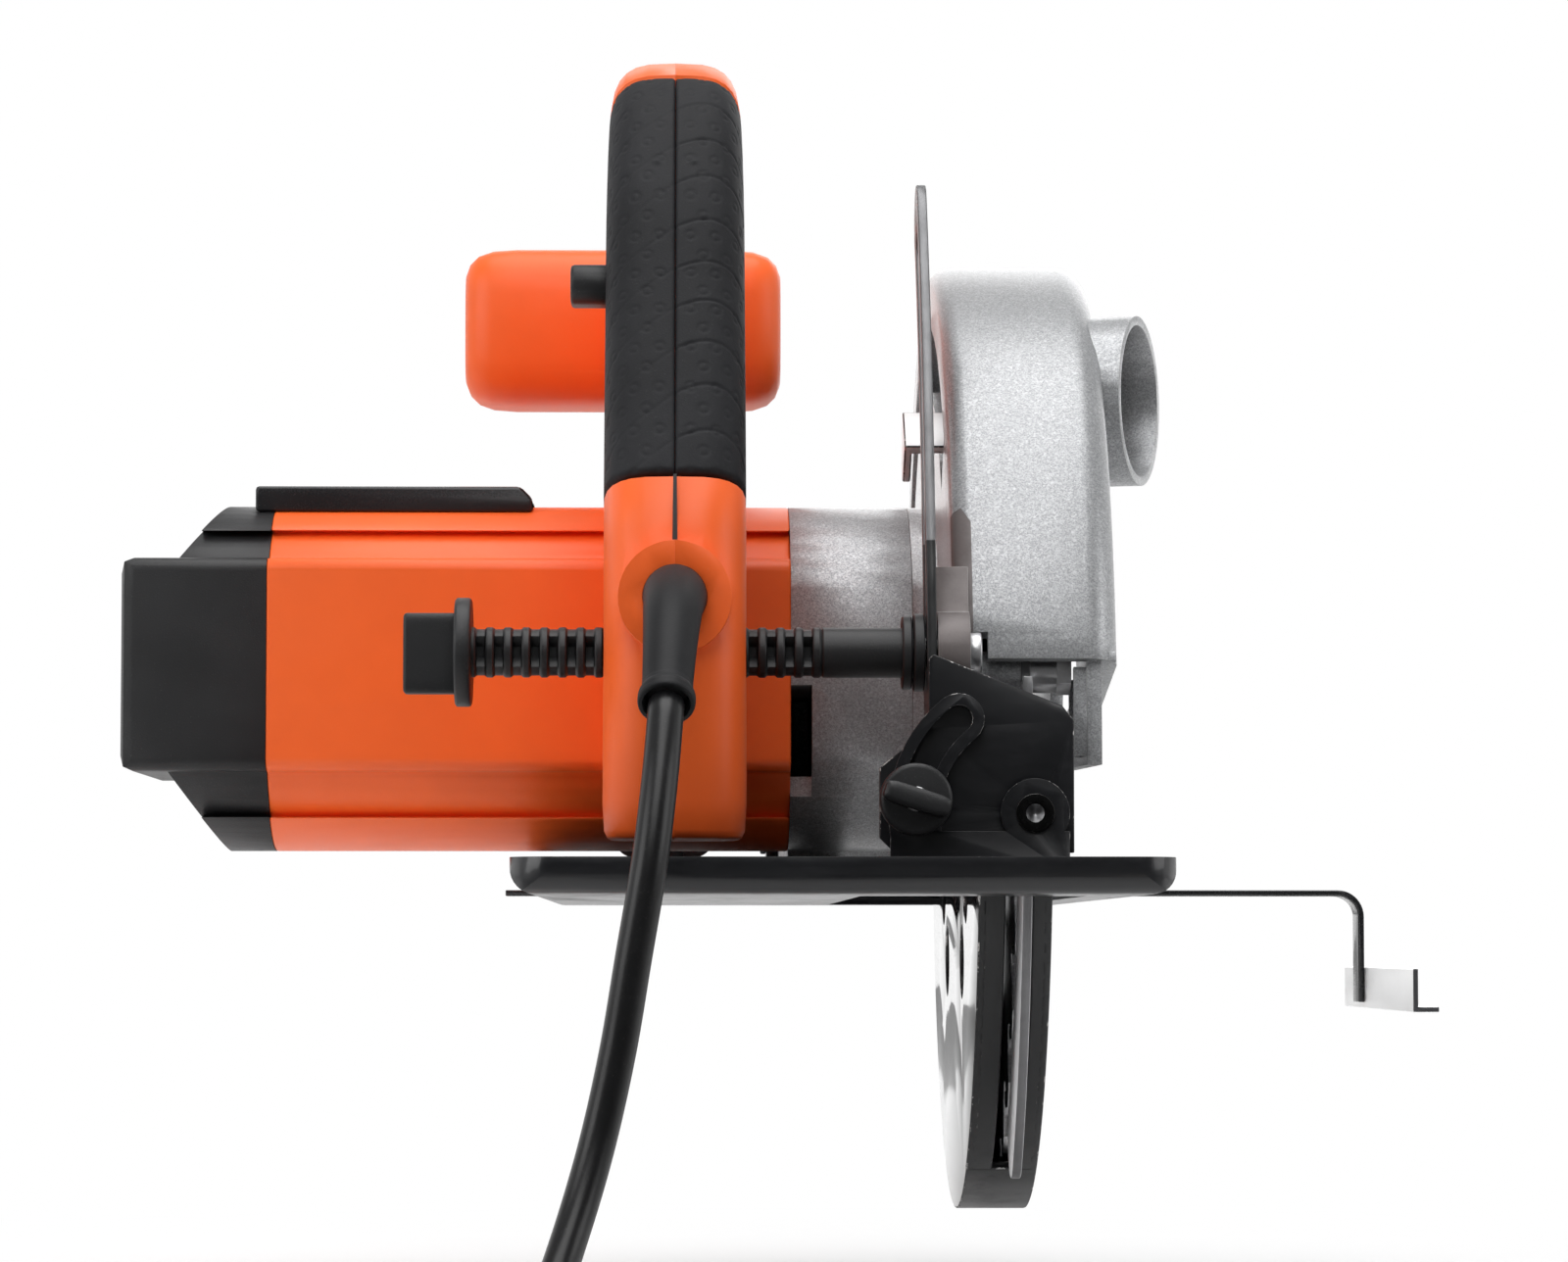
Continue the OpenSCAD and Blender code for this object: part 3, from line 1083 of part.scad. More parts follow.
// push pin that stops the drive gear while the blade is changed
module spindle_lock() color([0.1, 0.1, 0.1]) {
  x0 = case_x0 - lock_travel - free - 4;
  rod_x(x0, gear_x[0] - 2.3, lock_r, lock_at[0], lock_at[1], 24);
  rod_x(x0, x0 + 4, 4.6, lock_pad[0], lock_pad[1]);
}

// ---- cord ----

module cord_relief() color([0.13, 0.13, 0.13]) {
  tube(relief_route, relief_radii, 3, 16);
}

// the hanging stretch, and the short one from the coil to the plug
module cord() color([0.07, 0.07, 0.07]) {
  tube(cord_route, cord_d / 2, 2, 10);
  tube(cord_end_route, cord_d / 2, 2, 10, [0, 0, 1]);
}

module cord_coil() color([0.07, 0.07, 0.07]) translate([coil_c[0], coil_c[1], floor_z]) rotate_extrude($fn = 64)
  translate([coil_r0, 0]) square([coil_r1 - coil_r0, coil_h]);

module cord_tie() color([0.2, 0.2, 0.2]) translate([coil_c[0] - 5, coil_c[1] + coil_r0 - 2, floor_z]) difference() {
  cube([10, coil_r1 - coil_r0 + 3.6, coil_h + 1.3]);
  translate([-1, 1.3, -1]) cube([12, coil_r1 - coil_r0 + 0.9, coil_h + 1.1]);
}

// two-pin plug, lying flat, its pins ahead
module plug_body() color([0.08, 0.08, 0.08]) translate(plug_at) rotate([0, 0, 18]) rotate([90, 0, 90]) {
  linear_extrude(8) circle(5.2);
  translate([0, 0, 8]) linear_extrude(30) union() {
    square([21, 14], center = true);
    for (s = [-1, 1]) translate([s * 10.5, 0]) circle(7);
  }
}

module plug_pins() color([0.8, 0.8, 0.8]) translate(plug_at) rotate([0, 0, 18]) rotate([90, 0, 90])
  for (s = [-1, 1]) translate([s * 9.5, 0, 38]) cylinder(h = 19, r = 2.4);

// ---- the nodes ----

base_plate();
rear_bevel_bracket();
front_bevel_bracket();
bracket_rivets();
bevel_pivots();
fence_clip();
fence_bar();
fence_guide();
fence_screw();
rear_tilt_plate();
front_tilt_plate();
depth_quadrant();
depth_pivot_pin();
bevel_bolts();
rear_bevel_knob();
front_bevel_knob();
motor_housing();
end_cap();
top_cover();
field_core();
brush_holders();
carbon_brushes();
motor_bearings();
gear_housing();
upper_guard();
arbor_bearings();
hub_ring();
riving_knife();
knife_bolts();
depth_bolt();
handle_left();
handle_right();
grip_left();
grip_right();
handle_screws();
front_handle();
switch_body();
cord_relief();
cord();
cord_coil();
cord_tie();
plug_body();
plug_pins();
motor_shaft();
armature();
commutator();
cooling_fan();
arbor_shaft();
drive_gear();
inner_flange();
saw_blade();
carbide_tips();
outer_flange();
blade_bolt();
lower_guard();
guard_spring();
trigger();
lock_off_button();
spindle_lock();
depth_lever();
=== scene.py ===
# Circular saw: its finishes and finer forms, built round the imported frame.
# Sizes are in mm unless a line says metres.
import json
import math

import bmesh
import bpy
import numpy as np
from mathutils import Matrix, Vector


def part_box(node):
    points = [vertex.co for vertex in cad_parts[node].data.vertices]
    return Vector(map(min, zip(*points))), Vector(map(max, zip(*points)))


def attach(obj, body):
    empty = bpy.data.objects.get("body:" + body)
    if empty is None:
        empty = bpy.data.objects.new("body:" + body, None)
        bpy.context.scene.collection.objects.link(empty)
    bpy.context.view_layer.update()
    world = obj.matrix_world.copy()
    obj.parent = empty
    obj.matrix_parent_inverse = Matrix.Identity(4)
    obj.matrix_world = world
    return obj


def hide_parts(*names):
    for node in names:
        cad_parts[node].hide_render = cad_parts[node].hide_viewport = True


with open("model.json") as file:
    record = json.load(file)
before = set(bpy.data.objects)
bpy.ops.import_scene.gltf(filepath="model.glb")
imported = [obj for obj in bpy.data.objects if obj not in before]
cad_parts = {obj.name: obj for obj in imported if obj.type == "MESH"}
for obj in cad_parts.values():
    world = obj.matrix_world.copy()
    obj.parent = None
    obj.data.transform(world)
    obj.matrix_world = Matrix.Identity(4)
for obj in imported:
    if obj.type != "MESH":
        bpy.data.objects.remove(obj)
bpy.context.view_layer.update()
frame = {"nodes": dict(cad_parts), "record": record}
mm = 0.001


def placed(name, data):
    # a new object in the scene that shows the given data
    made = bpy.data.objects.new(name, data)
    bpy.context.scene.collection.objects.link(made)
    return made


# ---- camera: place in metres, lens in mm, turns in degrees ----
view = {"place": (-0.0334, -1.142, -0.010), "lens": 117.0, "upward": 3.53, "rightward": 1.23}
cameraData = bpy.data.cameras.new("camera")
cameraData.lens = view["lens"]
cameraData.sensor_width = 36
cameraData.clip_start = 0.01
camera = placed("camera", cameraData)
camera.location = view["place"]
camera.rotation_euler = (math.radians(90 + view["upward"]), 0, math.radians(-view["rightward"]))
bpy.context.scene.camera = camera

# ---- places that several pieces share ----
arbor = {"y": 15.0, "z": 29.0}
motor = {"y": -0.9922, "z": 49.5}
handleX = -33.4


# ---- paint: shader maths written as sums ----
class Level:
    # one socket's value; arithmetic on it adds Math nodes
    def __init__(self, paint, socket):
        self.paint, self.socket = paint, socket

    def step(self, operation, *values):
        return self.paint.node("ShaderNodeMath", {"operation": operation}, dict(enumerate(values)))[0]

    def __add__(self, other):
        return self.step("ADD", self, other)

    def __sub__(self, other):
        return self.step("SUBTRACT", self, other)

    def __rsub__(self, other):
        return self.step("SUBTRACT", other, self)

    def __mul__(self, other):
        return self.step("MULTIPLY", self, other)

    def __pow__(self, other):
        return self.step("POWER", self, other)

    def top(self, other):
        return self.step("MAXIMUM", self, other)

    def low(self, other):
        return self.step("MINIMUM", self, other)

    def between(self, start, end, before=0.0, after=1.0):
        # one value below start and another above end, smooth in between
        return self.paint.node("ShaderNodeMapRange", {"interpolation_type": "SMOOTHSTEP"},
                               {0: self, 1: start, 2: end, 3: before, 4: after})[0]

    __radd__ = __add__
    __rmul__ = __mul__


class Paint:
    # a material or the world; every node in it comes from the one method below
    def __init__(self, name, world=False):
        self.made = (bpy.data.worlds if world else bpy.data.materials).new(name)
        self.made.use_nodes = True
        self.tree = self.made.node_tree
        self.tree.nodes.clear()
        self.coordinates = self.node("ShaderNodeTexCoord")
        self.place = self.coordinates[3]

    def node(self, kind, settings=None, sockets=None):
        made = self.tree.nodes.new(kind)
        for key, value in (settings or {}).items():
            setattr(made, key, value)
        for key, value in (sockets or {}).items():
            if isinstance(value, Level):
                self.tree.links.new(value.socket, made.inputs[key])
            else:
                made.inputs[key].default_value = value
        return [Level(self, o) for o in made.outputs]

    def stretched(self, scale, turn=(0, 0, 0)):
        return self.node("ShaderNodeMapping", {}, {0: self.place, 2: turn, 3: scale})[0]

    def noise(self, scale, detail=2.0, rough=0.5, place=None):
        place = place or self.place
        return self.node("ShaderNodeTexNoise", {}, {0: place, 2: scale, 3: detail, 4: rough})[0]

    def cells(self, scale):
        # a random value for each cell of a fine crowd of grains
        colour = self.node("ShaderNodeTexVoronoi", {}, {0: self.place, 2: scale})[1]
        return self.node("ShaderNodeSeparateColor", {}, {0: colour})[0]

    def axes(self, place=None):
        return self.node("ShaderNodeSeparateXYZ", {}, {0: place or self.place})

    def mixed(self, share, first, second):
        return self.node("ShaderNodeMix", {"data_type": "RGBA"}, {0: share, 6: first, 7: second})[2]

    def blend(self, share, first, second):
        return self.node("ShaderNodeMixShader", {}, {0: share, 1: first, 2: second})[0]

    def end(self, shader, kind="ShaderNodeOutputMaterial"):
        self.node(kind, {}, {0: shader})
        return self.made

    def finish(self, colour, roughness, metallic=0.0, height=None, depth=0.0001, bump=1.0, **fixed):
        # depth is how deep the relief goes, in metres
        sockets = {"Base Color": colour, "Roughness": roughness, "Metallic": metallic, **fixed}
        if height is not None:
            relief = {"Strength": bump, "Distance": depth, "Height": height}
            sockets["Normal"] = self.node("ShaderNodeBump", {}, relief)[0]
        return self.end(self.node("ShaderNodeBsdfPrincipled", {}, sockets)[0])


def grey(level):
    return (level, level, level, 1.0)


def moulded(name, colour, roughness, grain=0.5, dust=0.02, tint=0.08):
    # injection moulding: fine spark-eroded grain, faint flow marks and handling
    p = Paint(name)
    broad = p.noise(22, 3, 0.6)
    fine = p.noise(2600, 2, 0.6)
    smear = p.noise(60, 4, 0.65, p.stretched((0.4, 1.0, 2.2)))
    dark = tuple(c * (1 - 2 * tint) for c in colour[:3]) + (1.0,)
    light = tuple(min(1.0, c * (1 + tint) + dust * 0.3) for c in colour[:3]) + (1.0,)
    base = p.mixed(broad.between(0.3, 0.7), dark, light)
    base = p.mixed(fine.between(0.62, 0.9) * 0.12, base, grey(0.5))
    return p.finish(base, roughness + (smear - 0.5) * 0.16 + (fine - 0.5) * 0.08, 0.0,
                    fine * 0.7 + smear * 0.3, 0.00012, grain, **{"Specular IOR Level": 0.4})


def castSilver(name):
    # die casting under a clear lacquer with fine metal flake, slightly pitted
    p = Paint(name)
    flake = p.cells(4200)
    glint = p.cells(2300).between(0.8, 1.0)
    broad = p.noise(26, 3, 0.6)
    stain = p.noise(160, 5, 0.72).between(0.7, 0.82)
    base = p.mixed(flake, (0.26, 0.265, 0.273, 1), (0.47, 0.478, 0.49, 1))
    base = p.mixed(glint * 0.4, base, (0.68, 0.69, 0.7, 1))
    base = p.mixed(broad.between(0.35, 0.75) * 0.16, base, (0.3, 0.305, 0.315, 1))
    base = p.mixed(stain * 0.35, base, (0.16, 0.155, 0.15, 1))
    return p.finish(base, 0.46 - flake * 0.12, 0.45, flake, 0.0001, 0.3,
                    **{"Coat Weight": 0.3, "Coat Roughness": 0.28})


def enamel(name, colour, roughness, wear=1.0, coat=0.8, bump=0.35):
    # black stove enamel on pressed steel, with hairline scratches, chips and dust
    p = Paint(name)
    scuff = p.noise(90, 6, 0.75, p.stretched((1.0, 0.25, 3.0), (0.3, 0.5, 0.2)))
    line = p.noise(260, 2, 0.5, p.stretched((0.16, 0.16, 4.0), (0.7, 0.4, 0.9)))
    chips = p.noise(330, 4, 0.7)
    worn = (line.between(0.75, 0.79) * scuff.between(0.5, 0.62) + chips.between(0.79, 0.82)).low(1.0) * wear
    fine = p.noise(1700, 2, 0.5)
    dusty = tuple(c * 1.8 + 0.006 for c in colour[:3]) + (1.0,)
    base = p.mixed(scuff.between(0.45, 0.8) * 0.3, colour, dusty)
    base = p.mixed(worn * 0.7, base, (0.36, 0.35, 0.34, 1))
    return p.finish(base, roughness + scuff.between(0.4, 0.8) * 0.14 + fine * 0.04, worn * 0.8,
                    fine * 0.3 - worn * 0.6, 0.0001, bump, **{"Coat Weight": coat, "Coat Roughness": 0.06})


def wornEdge(name, colour, share=0.5):
    # paint rubbed through along an edge
    p = Paint(name)
    rub = p.noise(170, 5, 0.75)
    grit = p.noise(1400, 3, 0.6)
    bare = (rub + grit * 0.25).between(0.78 - share * 0.3, 0.86 - share * 0.3)
    base = p.mixed(bare, colour, (0.5, 0.49, 0.48, 1))
    return p.finish(base, 0.42 - bare * 0.08 + grit * 0.08, bare * 0.85, grit - bare * 0.4, 0.0001, 0.4)


def plated(name, colour, roughness, stretch=(1, 1, 1), metallic=1.0, grime=0.3):
    # bright or dull plated steel, its grain drawn along the axis that is scaled least
    p = Paint(name)
    grain = p.noise(1500, 3, 0.6, p.stretched(stretch))
    cloud = p.noise(120, 4, 0.65)
    base = p.mixed(cloud.between(0.4, 0.8) * grime, colour, tuple(c * 0.45 for c in colour[:3]) + (1.0,))
    bright = tuple(min(1, c * 1.35) for c in colour[:3]) + (1.0,)
    base = p.mixed(grain.between(0.4, 0.75) * 0.2, base, bright)
    return p.finish(base, roughness + (grain - 0.5) * 0.2 + cloud.between(0.4, 0.8) * 0.12, metallic,
                    grain, 0.00006, 0.35)


def groundSteel(name, colour):
    # blade steel with grinding rings about the arbor
    p = Paint(name)
    x, y, z = p.axes()
    across, up = y - arbor["y"] * mm, z - arbor["z"] * mm
    radius = (across * across + up * up) ** 0.5
    ring = p.node("ShaderNodeCombineXYZ", {}, {0: radius, 1: 0.0, 2: x * 0.2})[0]
    rings = p.noise(1900, 3, 0.7, ring)
    cloud = p.noise(45, 3, 0.6)
    base = p.mixed(rings.between(0.35, 0.7), tuple(c * 0.72 for c in colour[:3]) + (1.0,), colour)
    return p.finish(base, 0.24 + rings * 0.2 + cloud * 0.1, 1.0, rings, 0.00005, 0.35)


def softRubber(name, colour, roughness, bump=0.5, gloss=0.35):
    p = Paint(name)
    fine = p.noise(2100, 2, 0.6)
    broad = p.noise(35, 4, 0.6)
    base = p.mixed(broad.between(0.35, 0.75), colour, tuple(c * 1.5 + 0.004 for c in colour[:3]) + (1.0,))
    base = p.mixed(fine.between(0.6, 0.85) * 0.08, base, grey(0.3))
    return p.finish(base, roughness + (fine - 0.5) * 0.12 + (broad - 0.5) * 0.12, 0.0, fine, 0.0001, bump,
                    **{"Specular IOR Level": gloss})


def woundCopper(name):
    # varnished windings: fine bright strands between darker gaps
    p = Paint(name)
    strand = p.node("ShaderNodeTexWave", {"wave_type": "BANDS", "bands_direction": "DIAGONAL"},
                    {0: p.place, 1: 420.0, 2: 3.0, 3: 2.0})[1]
    cloud = p.noise(200, 3, 0.6)
    base = p.mixed(strand, (0.12, 0.035, 0.012, 1), (0.55, 0.22, 0.09, 1))
    return p.finish(base, 0.3 + cloud * 0.2, 0.85, strand, 0.0003, 0.7)


black = (0.0125, 0.0128, 0.014, 1)
paints = {
    "orange_plastic": moulded("orangeMoulding", (0.99, 0.14, 0.02, 1), 0.42, 0.3, 0.0, 0.035),
    "black_plastic": moulded("blackMoulding", black, 0.46, 0.55, 0.02, 0.12),
    "cast_silver": castSilver("castSilver"),
    "black_paint": enamel("blackEnamel", (0.0038, 0.0042, 0.0056, 1), 0.24, 0.8, 0.55),
    "zinc_steel": plated("zincPlate", (0.56, 0.56, 0.57, 1), 0.36),
    "core_steel": plated("machinedSteel", (0.42, 0.42, 0.43, 1), 0.34, (3, 0.3, 0.3)),
    "copper": woundCopper("varnishedCopper"),
    "brass_holder": plated("brassHolder", (0.72, 0.5, 0.2, 1), 0.3),
    "carbon": softRubber("sinteredCarbon", (0.02, 0.02, 0.021, 1), 0.6),
    "blade_steel": groundSteel("groundBlade", (0.6, 0.6, 0.61, 1)),
    "carbide": plated("carbideTips", (0.34, 0.34, 0.35, 1), 0.3),
    "grip_rubber": softRubber("gripRubber", (0.0115, 0.0117, 0.0135, 1), 0.66, 0.5, 0.22),
    "cord_rubber": softRubber("cordRubber", (0.0042, 0.0042, 0.0047, 1), 0.33, 0.2),
}
# finishes of single pieces, or of a part of one, and two dark ones that are painted shade
sleeveRubber = softRubber("sleeveRubber", (0.008, 0.0081, 0.0092, 1), 0.55, 0.3, 0.22)
whiteZinc = plated("whiteZinc", (0.9, 0.9, 0.9, 1), 0.32, metallic=0.1, grime=0.06)
dullPlate = plated("dullPlate", (0.185, 0.185, 0.19, 1), 0.42, (3, 1, 0.2), 0.85)
dullRivet = plated("dullRivet", (0.16, 0.155, 0.15, 1), 0.3)
# painted shade: near-black laid on each pivot rivet's head and bore so that it reads as a deep dark hole
paintedBoreShade = softRubber("paintedBoreShade", (0.002, 0.002, 0.002, 1), 0.8, 0.1, 0.05)
plateEnamel = enamel("plateEnamel", (0.0034, 0.0038, 0.0056, 1), 0.3, 0.45, 0.25, 0.06)
glossMoulding = moulded("glossMoulding", (0.016, 0.0162, 0.018, 1), 0.27, 0.2, 0.02, 0.1)
guardEnamel = enamel("guardEnamel", (0.004, 0.0045, 0.0055, 1), 0.38, 0.35, 0.15)
smoothEnamel = enamel("smoothEnamel", (0.004, 0.0045, 0.0055, 1), 0.05, 0.0, 1.0, 0.0)
# painted shade: a darker copy of the cast silver for the part of the upper guard that lies in shade
paintedShadeCasting = plated("paintedShadeCasting", (0.17, 0.15, 0.147, 1), 0.5, metallic=0.3)
brightZinc = plated("brightZinc", (0.96, 0.96, 0.96, 1), 0.34, metallic=0.75, grime=0.03)
cutEdge = plated("cutEdge", (0.075, 0.075, 0.08, 1), 0.45, metallic=0.6)
wornPaint = wornEdge("wornEnamel", (0.01, 0.01, 0.012, 1), 0.36)
wornSilver = wornEdge("wornLacquer", (0.42, 0.43, 0.44, 1), 0.8)
print("paints mixed")


# ---- meshes ----
def closedSkin(name, points, sharp=38):
    # a surface through points[row, column] in mm: each row is a ring, and the first and last are capped
    rows, columns = points.shape[:2]
    index = np.arange(rows * columns).reshape(rows, columns)
    ring = np.hstack([index, index[:, :1]])
    corners = [ring[:-1, :-1], ring[1:, :-1], ring[1:, 1:], ring[:-1, 1:]]
    faces = np.stack(corners, -1).reshape(-1, 4).tolist() + [index[0].tolist(), index[-1].tolist()]
    mesh = bpy.data.meshes.new(name)
    mesh.from_pydata((points.reshape(-1, 3) * mm).tolist(), [], faces)
    work = bmesh.new()
    work.from_mesh(mesh)
    bmesh.ops.recalc_face_normals(work, faces=work.faces)
    work.to_mesh(mesh)
    work.free()
    mesh.shade_smooth()
    mesh.set_sharp_from_angle(angle=math.radians(sharp))
    return placed(name, mesh)


def throughPoints(p, i, t):
    # Catmull-Rom curve on the span that begins at point i, at the share t of that span
    a, b, c, d = p[i - 1], p[i], p[i + 1], p[i + 2]
    t = t[:, None]
    return 0.5 * (2 * b + (c - a) * t + (2 * a - 5 * b + 4 * c - d) * t**2 + (3 * b - a - 3 * c + d) * t**3)


def smoothPath(points, steps):
    # the curve through all the points, steps samples to each span, with its ends repeated
    p = np.asarray(points, float)
    p = np.vstack([p[:1], p, p[-1:]])
    u = np.linspace(0, len(p) - 3, (len(p) - 3) * steps + 1)
    i = np.minimum(u.astype(int), len(p) - 4)
    return throughPoints(p, i + 1, u - i)


def unit(v):
    return v / np.linalg.norm(v, axis=-1, keepdims=True)


def fullTurn(sides):
    # the angles of a ring's points
    return np.linspace(0, 2 * np.pi, sides, endpoint=False)


def tubeAlong(path, radius, sides, sideways, places=None):
    # circles of the given radii, square to the path; sideways is a direction that is never along it.
    # places, as shares of the path, let a sleeve turn in at its mouth and run back inside itself
    path = np.asarray(path, float)
    along = unit(np.gradient(path, axis=0))
    first = unit(np.cross(along, np.broadcast_to(sideways, path.shape)))
    second = np.cross(along, first)
    if places is not None:
        index = np.arange(len(path)) / (len(path) - 1)
        path, first, second = (np.stack([np.interp(places, index, c) for c in v.T], -1)
                               for v in (path, first, second))
    turn = fullTurn(sides)
    radius = np.broadcast_to(np.asarray(radius, float), (len(path),))[:, None, None]
    return path[:, None] + radius * (np.cos(turn)[None, :, None] * first[:, None]
                                     + np.sin(turn)[None, :, None] * second[:, None])


def lathe(name, profile, y, z, sides=64):
    # x and radius pairs turned about a line along X
    x, r = np.array(profile, float).T
    turn = fullTurn(sides)
    return closedSkin(name, np.stack([np.repeat(x[:, None], sides, 1), y + r[:, None] * np.cos(turn),
                                      z + r[:, None] * np.sin(turn)], -1), sharp=35)


def dress(piece, slot, body, replaces=(), worn=None):
    piece.data.materials.clear()
    piece.data.materials.append(paints[slot])
    if worn:
        piece.data.materials.append(worn)
    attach(piece, body)
    if replaces:
        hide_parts(*replaces)
    return piece


bodyOf = {node: body for body, nodes in frame["record"]["behaviour"]["bodies"].items() for node in nodes}
slotOf = {part["node"]: part["material_slot"] for part in frame["record"]["subparts"]}


def cutAt(work, axis, value):
    # edges where a mesh meets the plane at value mm on an axis
    point, normal = [0, 0, 0], [0, 0, 0]
    point[axis], normal[axis] = value * mm, 1
    bmesh.ops.bisect_plane(work, geom=work.verts[:] + work.edges[:] + work.faces[:], plane_co=point,
                           plane_no=normal, dist=1e-6)


def eased(node, width, segments=2, worn=None, cuts=()):
    # a copy of a solid with its edges eased by width mm; cuts are planes (axis, mm) that part a
    # pierced face
    mesh = frame["nodes"][node].data.copy()
    work = bmesh.new()
    work.from_mesh(mesh)
    bmesh.ops.remove_doubles(work, verts=work.verts, dist=2e-6)
    for axis, value in cuts:
        cutAt(work, axis, value)
    kept = {edge for axis, value in cuts for edge in work.edges
            if all(abs(v.co[axis] - value * mm) < 2e-6 for v in edge.verts)}
    bmesh.ops.dissolve_limit(work, angle_limit=math.radians(0.6), verts=work.verts,
                             edges=[e for e in work.edges if e not in kept])
    work.to_mesh(mesh)
    work.free()
    name = node.split("_")[0] + "".join(word.capitalize() for word in node.split("_")[1:]) + "Eased"
    piece = placed(name, mesh)
    mesh.shade_smooth()
    bevel = piece.modifiers.new("eased", "BEVEL")
    bevel.width = width * mm
    bevel.segments = segments
    bevel.limit_method = "ANGLE"
    bevel.angle_limit = math.radians(34)
    bevel.harden_normals = True
    bevel.loop_slide = False
    bevel.miter_outer = "MITER_ARC"
    if worn:
        bevel.material = 1
    return dress(piece, slotOf[node], bodyOf[node], [node], worn)


# ---- the cord: hanging, then coiled on the floor, then to its plug ----
cordPlan = {
    "diameter": 7.0,
    "hanging": [(-35, -168, 36), (-35.3, -172, 32), (-36.2, -178, 21.5), (-38, -183, 6), (-41, -185, -12),
                (-44, -186, -30), (-48, -188, -48), (-53, -195, -65), (-58, -208, -79), (-62, -224, -87),
                (-64, -241, -88.5)],
    # samples to a span, spans that hang freely, and samples over which the cord comes to lie
    "steps": 12, "fallen": 9, "settling": 24,
    "centre": (-15, -262), "outer": 50.5, "pitch": 7.1, "turns": 4, "layers": (-88.5, -81.45),
    "upperTurns": 2.75, "upperOuter": 46, "climbDip": 1.1, "climbShift": 1,
    "perTurn": 40, "upperSamples": 100,
    "leaving": [(2, -308.5, -81.5), (19, -305.5, -83), (33, -299.9, -84.5), (45, -296, -84.5)],
}


def coilPath(c):
    # a flat spiral inward on the lower layer, half a turn up, then a spiral outward on the upper layer;
    # each row is turns, radius and height
    low, high = c["layers"]
    dip, shift = c["climbDip"], c["climbShift"]
    inner = c["outer"] - c["pitch"] * c["turns"]
    a = np.linspace(0, c["turns"], c["perTurn"] * c["turns"] + 1)
    lower = np.stack([a, c["outer"] - c["pitch"] * a, np.full_like(a, low)], -1)
    s = np.linspace(0, 1, c["perTurn"] // 2 + 1)[1:]
    climb = np.stack([c["turns"] + s / 2, inner - dip * np.sin(np.pi * s) + shift * s**2,
                      low + (high - low) * s * s * (3 - 2 * s)], -1)
    b = np.linspace(0, 1, c["upperSamples"] + 1)[1:]
    upper = np.stack([c["turns"] + 0.5 + c["upperTurns"] * b,
                      inner + shift + (c["upperOuter"] - inner) * b, np.full_like(b, high)], -1)
    turn, radius, z = np.concatenate([lower, climb, upper]).T
    angle = np.pi + 2 * np.pi * turn
    across, along = c["centre"]
    return np.stack([across + radius * np.cos(angle), along + radius * np.sin(angle), z], -1)


coil = coilPath(cordPlan)
steps = cordPlan["steps"]
hanging = smoothPath([*cordPlan["hanging"], tuple(coil[0]), tuple(coil[2])], steps)[:-steps]
leaving = smoothPath([tuple(coil[-1]), *cordPlan["leaving"]], 8)[1:]
cordLine = np.vstack([hanging, coil[1:], leaving])
# the rings' sideways direction turns from X to Z where the cord comes to lie
sample = np.arange(len(cordLine))[:, None]
lying = np.clip((sample - cordPlan["fallen"] * steps) / cordPlan["settling"], 0, 1)
cordSide = (1 - lying) * np.array([1.0, 0, 0]) + lying * np.array([0, 0, 1.0])
cord = closedSkin("mainsCord", tubeAlong(cordLine, cordPlan["diameter"] / 2, 20, cordSide))
dress(cord, "cord_rubber", "saw", ["cord", "cord_coil"])

# strain relief: a tapering sleeve with a flared lip, open round the cord at its mouth
reliefPlan = {
    "line": [(handleX, -107, 60), (handleX, -119, 60), (-33.5, -131, 59), (-33.9, -145, 54.5),
             (-34.4, -157, 46.5), (-35, -168, 36)],
    # share of the line's length and radius
    "profile": [(0, 6.5), (0.2, 6.5), (0.4, 6.25), (0.6, 5.75), (0.8, 5.2), (0.9, 4.95), (0.925, 4.95),
                (0.94, 5.1), (0.952, 5.45), (0.962, 5.6), (0.985, 5.6), (0.995, 5.5), (1.0, 5.3),
                (1.0, 4.7), (0.992, 4.5), (0.95, 4.35), (0.93, 4.2), (0.93, 3.55)],
}
places, radii = np.array(reliefPlan["profile"]).T
stretch = np.linspace(0, len(places) - 1, 8 * (len(places) - 1) + 1)
places, radii = (np.interp(stretch, np.arange(len(places)), v) for v in (places, radii))
reliefLine = smoothPath(reliefPlan["line"], 24)
relief = closedSkin("strainRelief", tubeAlong(reliefLine, radii, 48, (1.0, 0, 0), places))
dress(relief, "black_plastic", "saw", ["cord_relief"])
relief.data.materials[0] = sleeveRubber
plug = eased("plug_body", 1.2, 3)
plugPins = eased("plug_pins", 0.6)
cordTie = eased("cord_tie", 0.3)

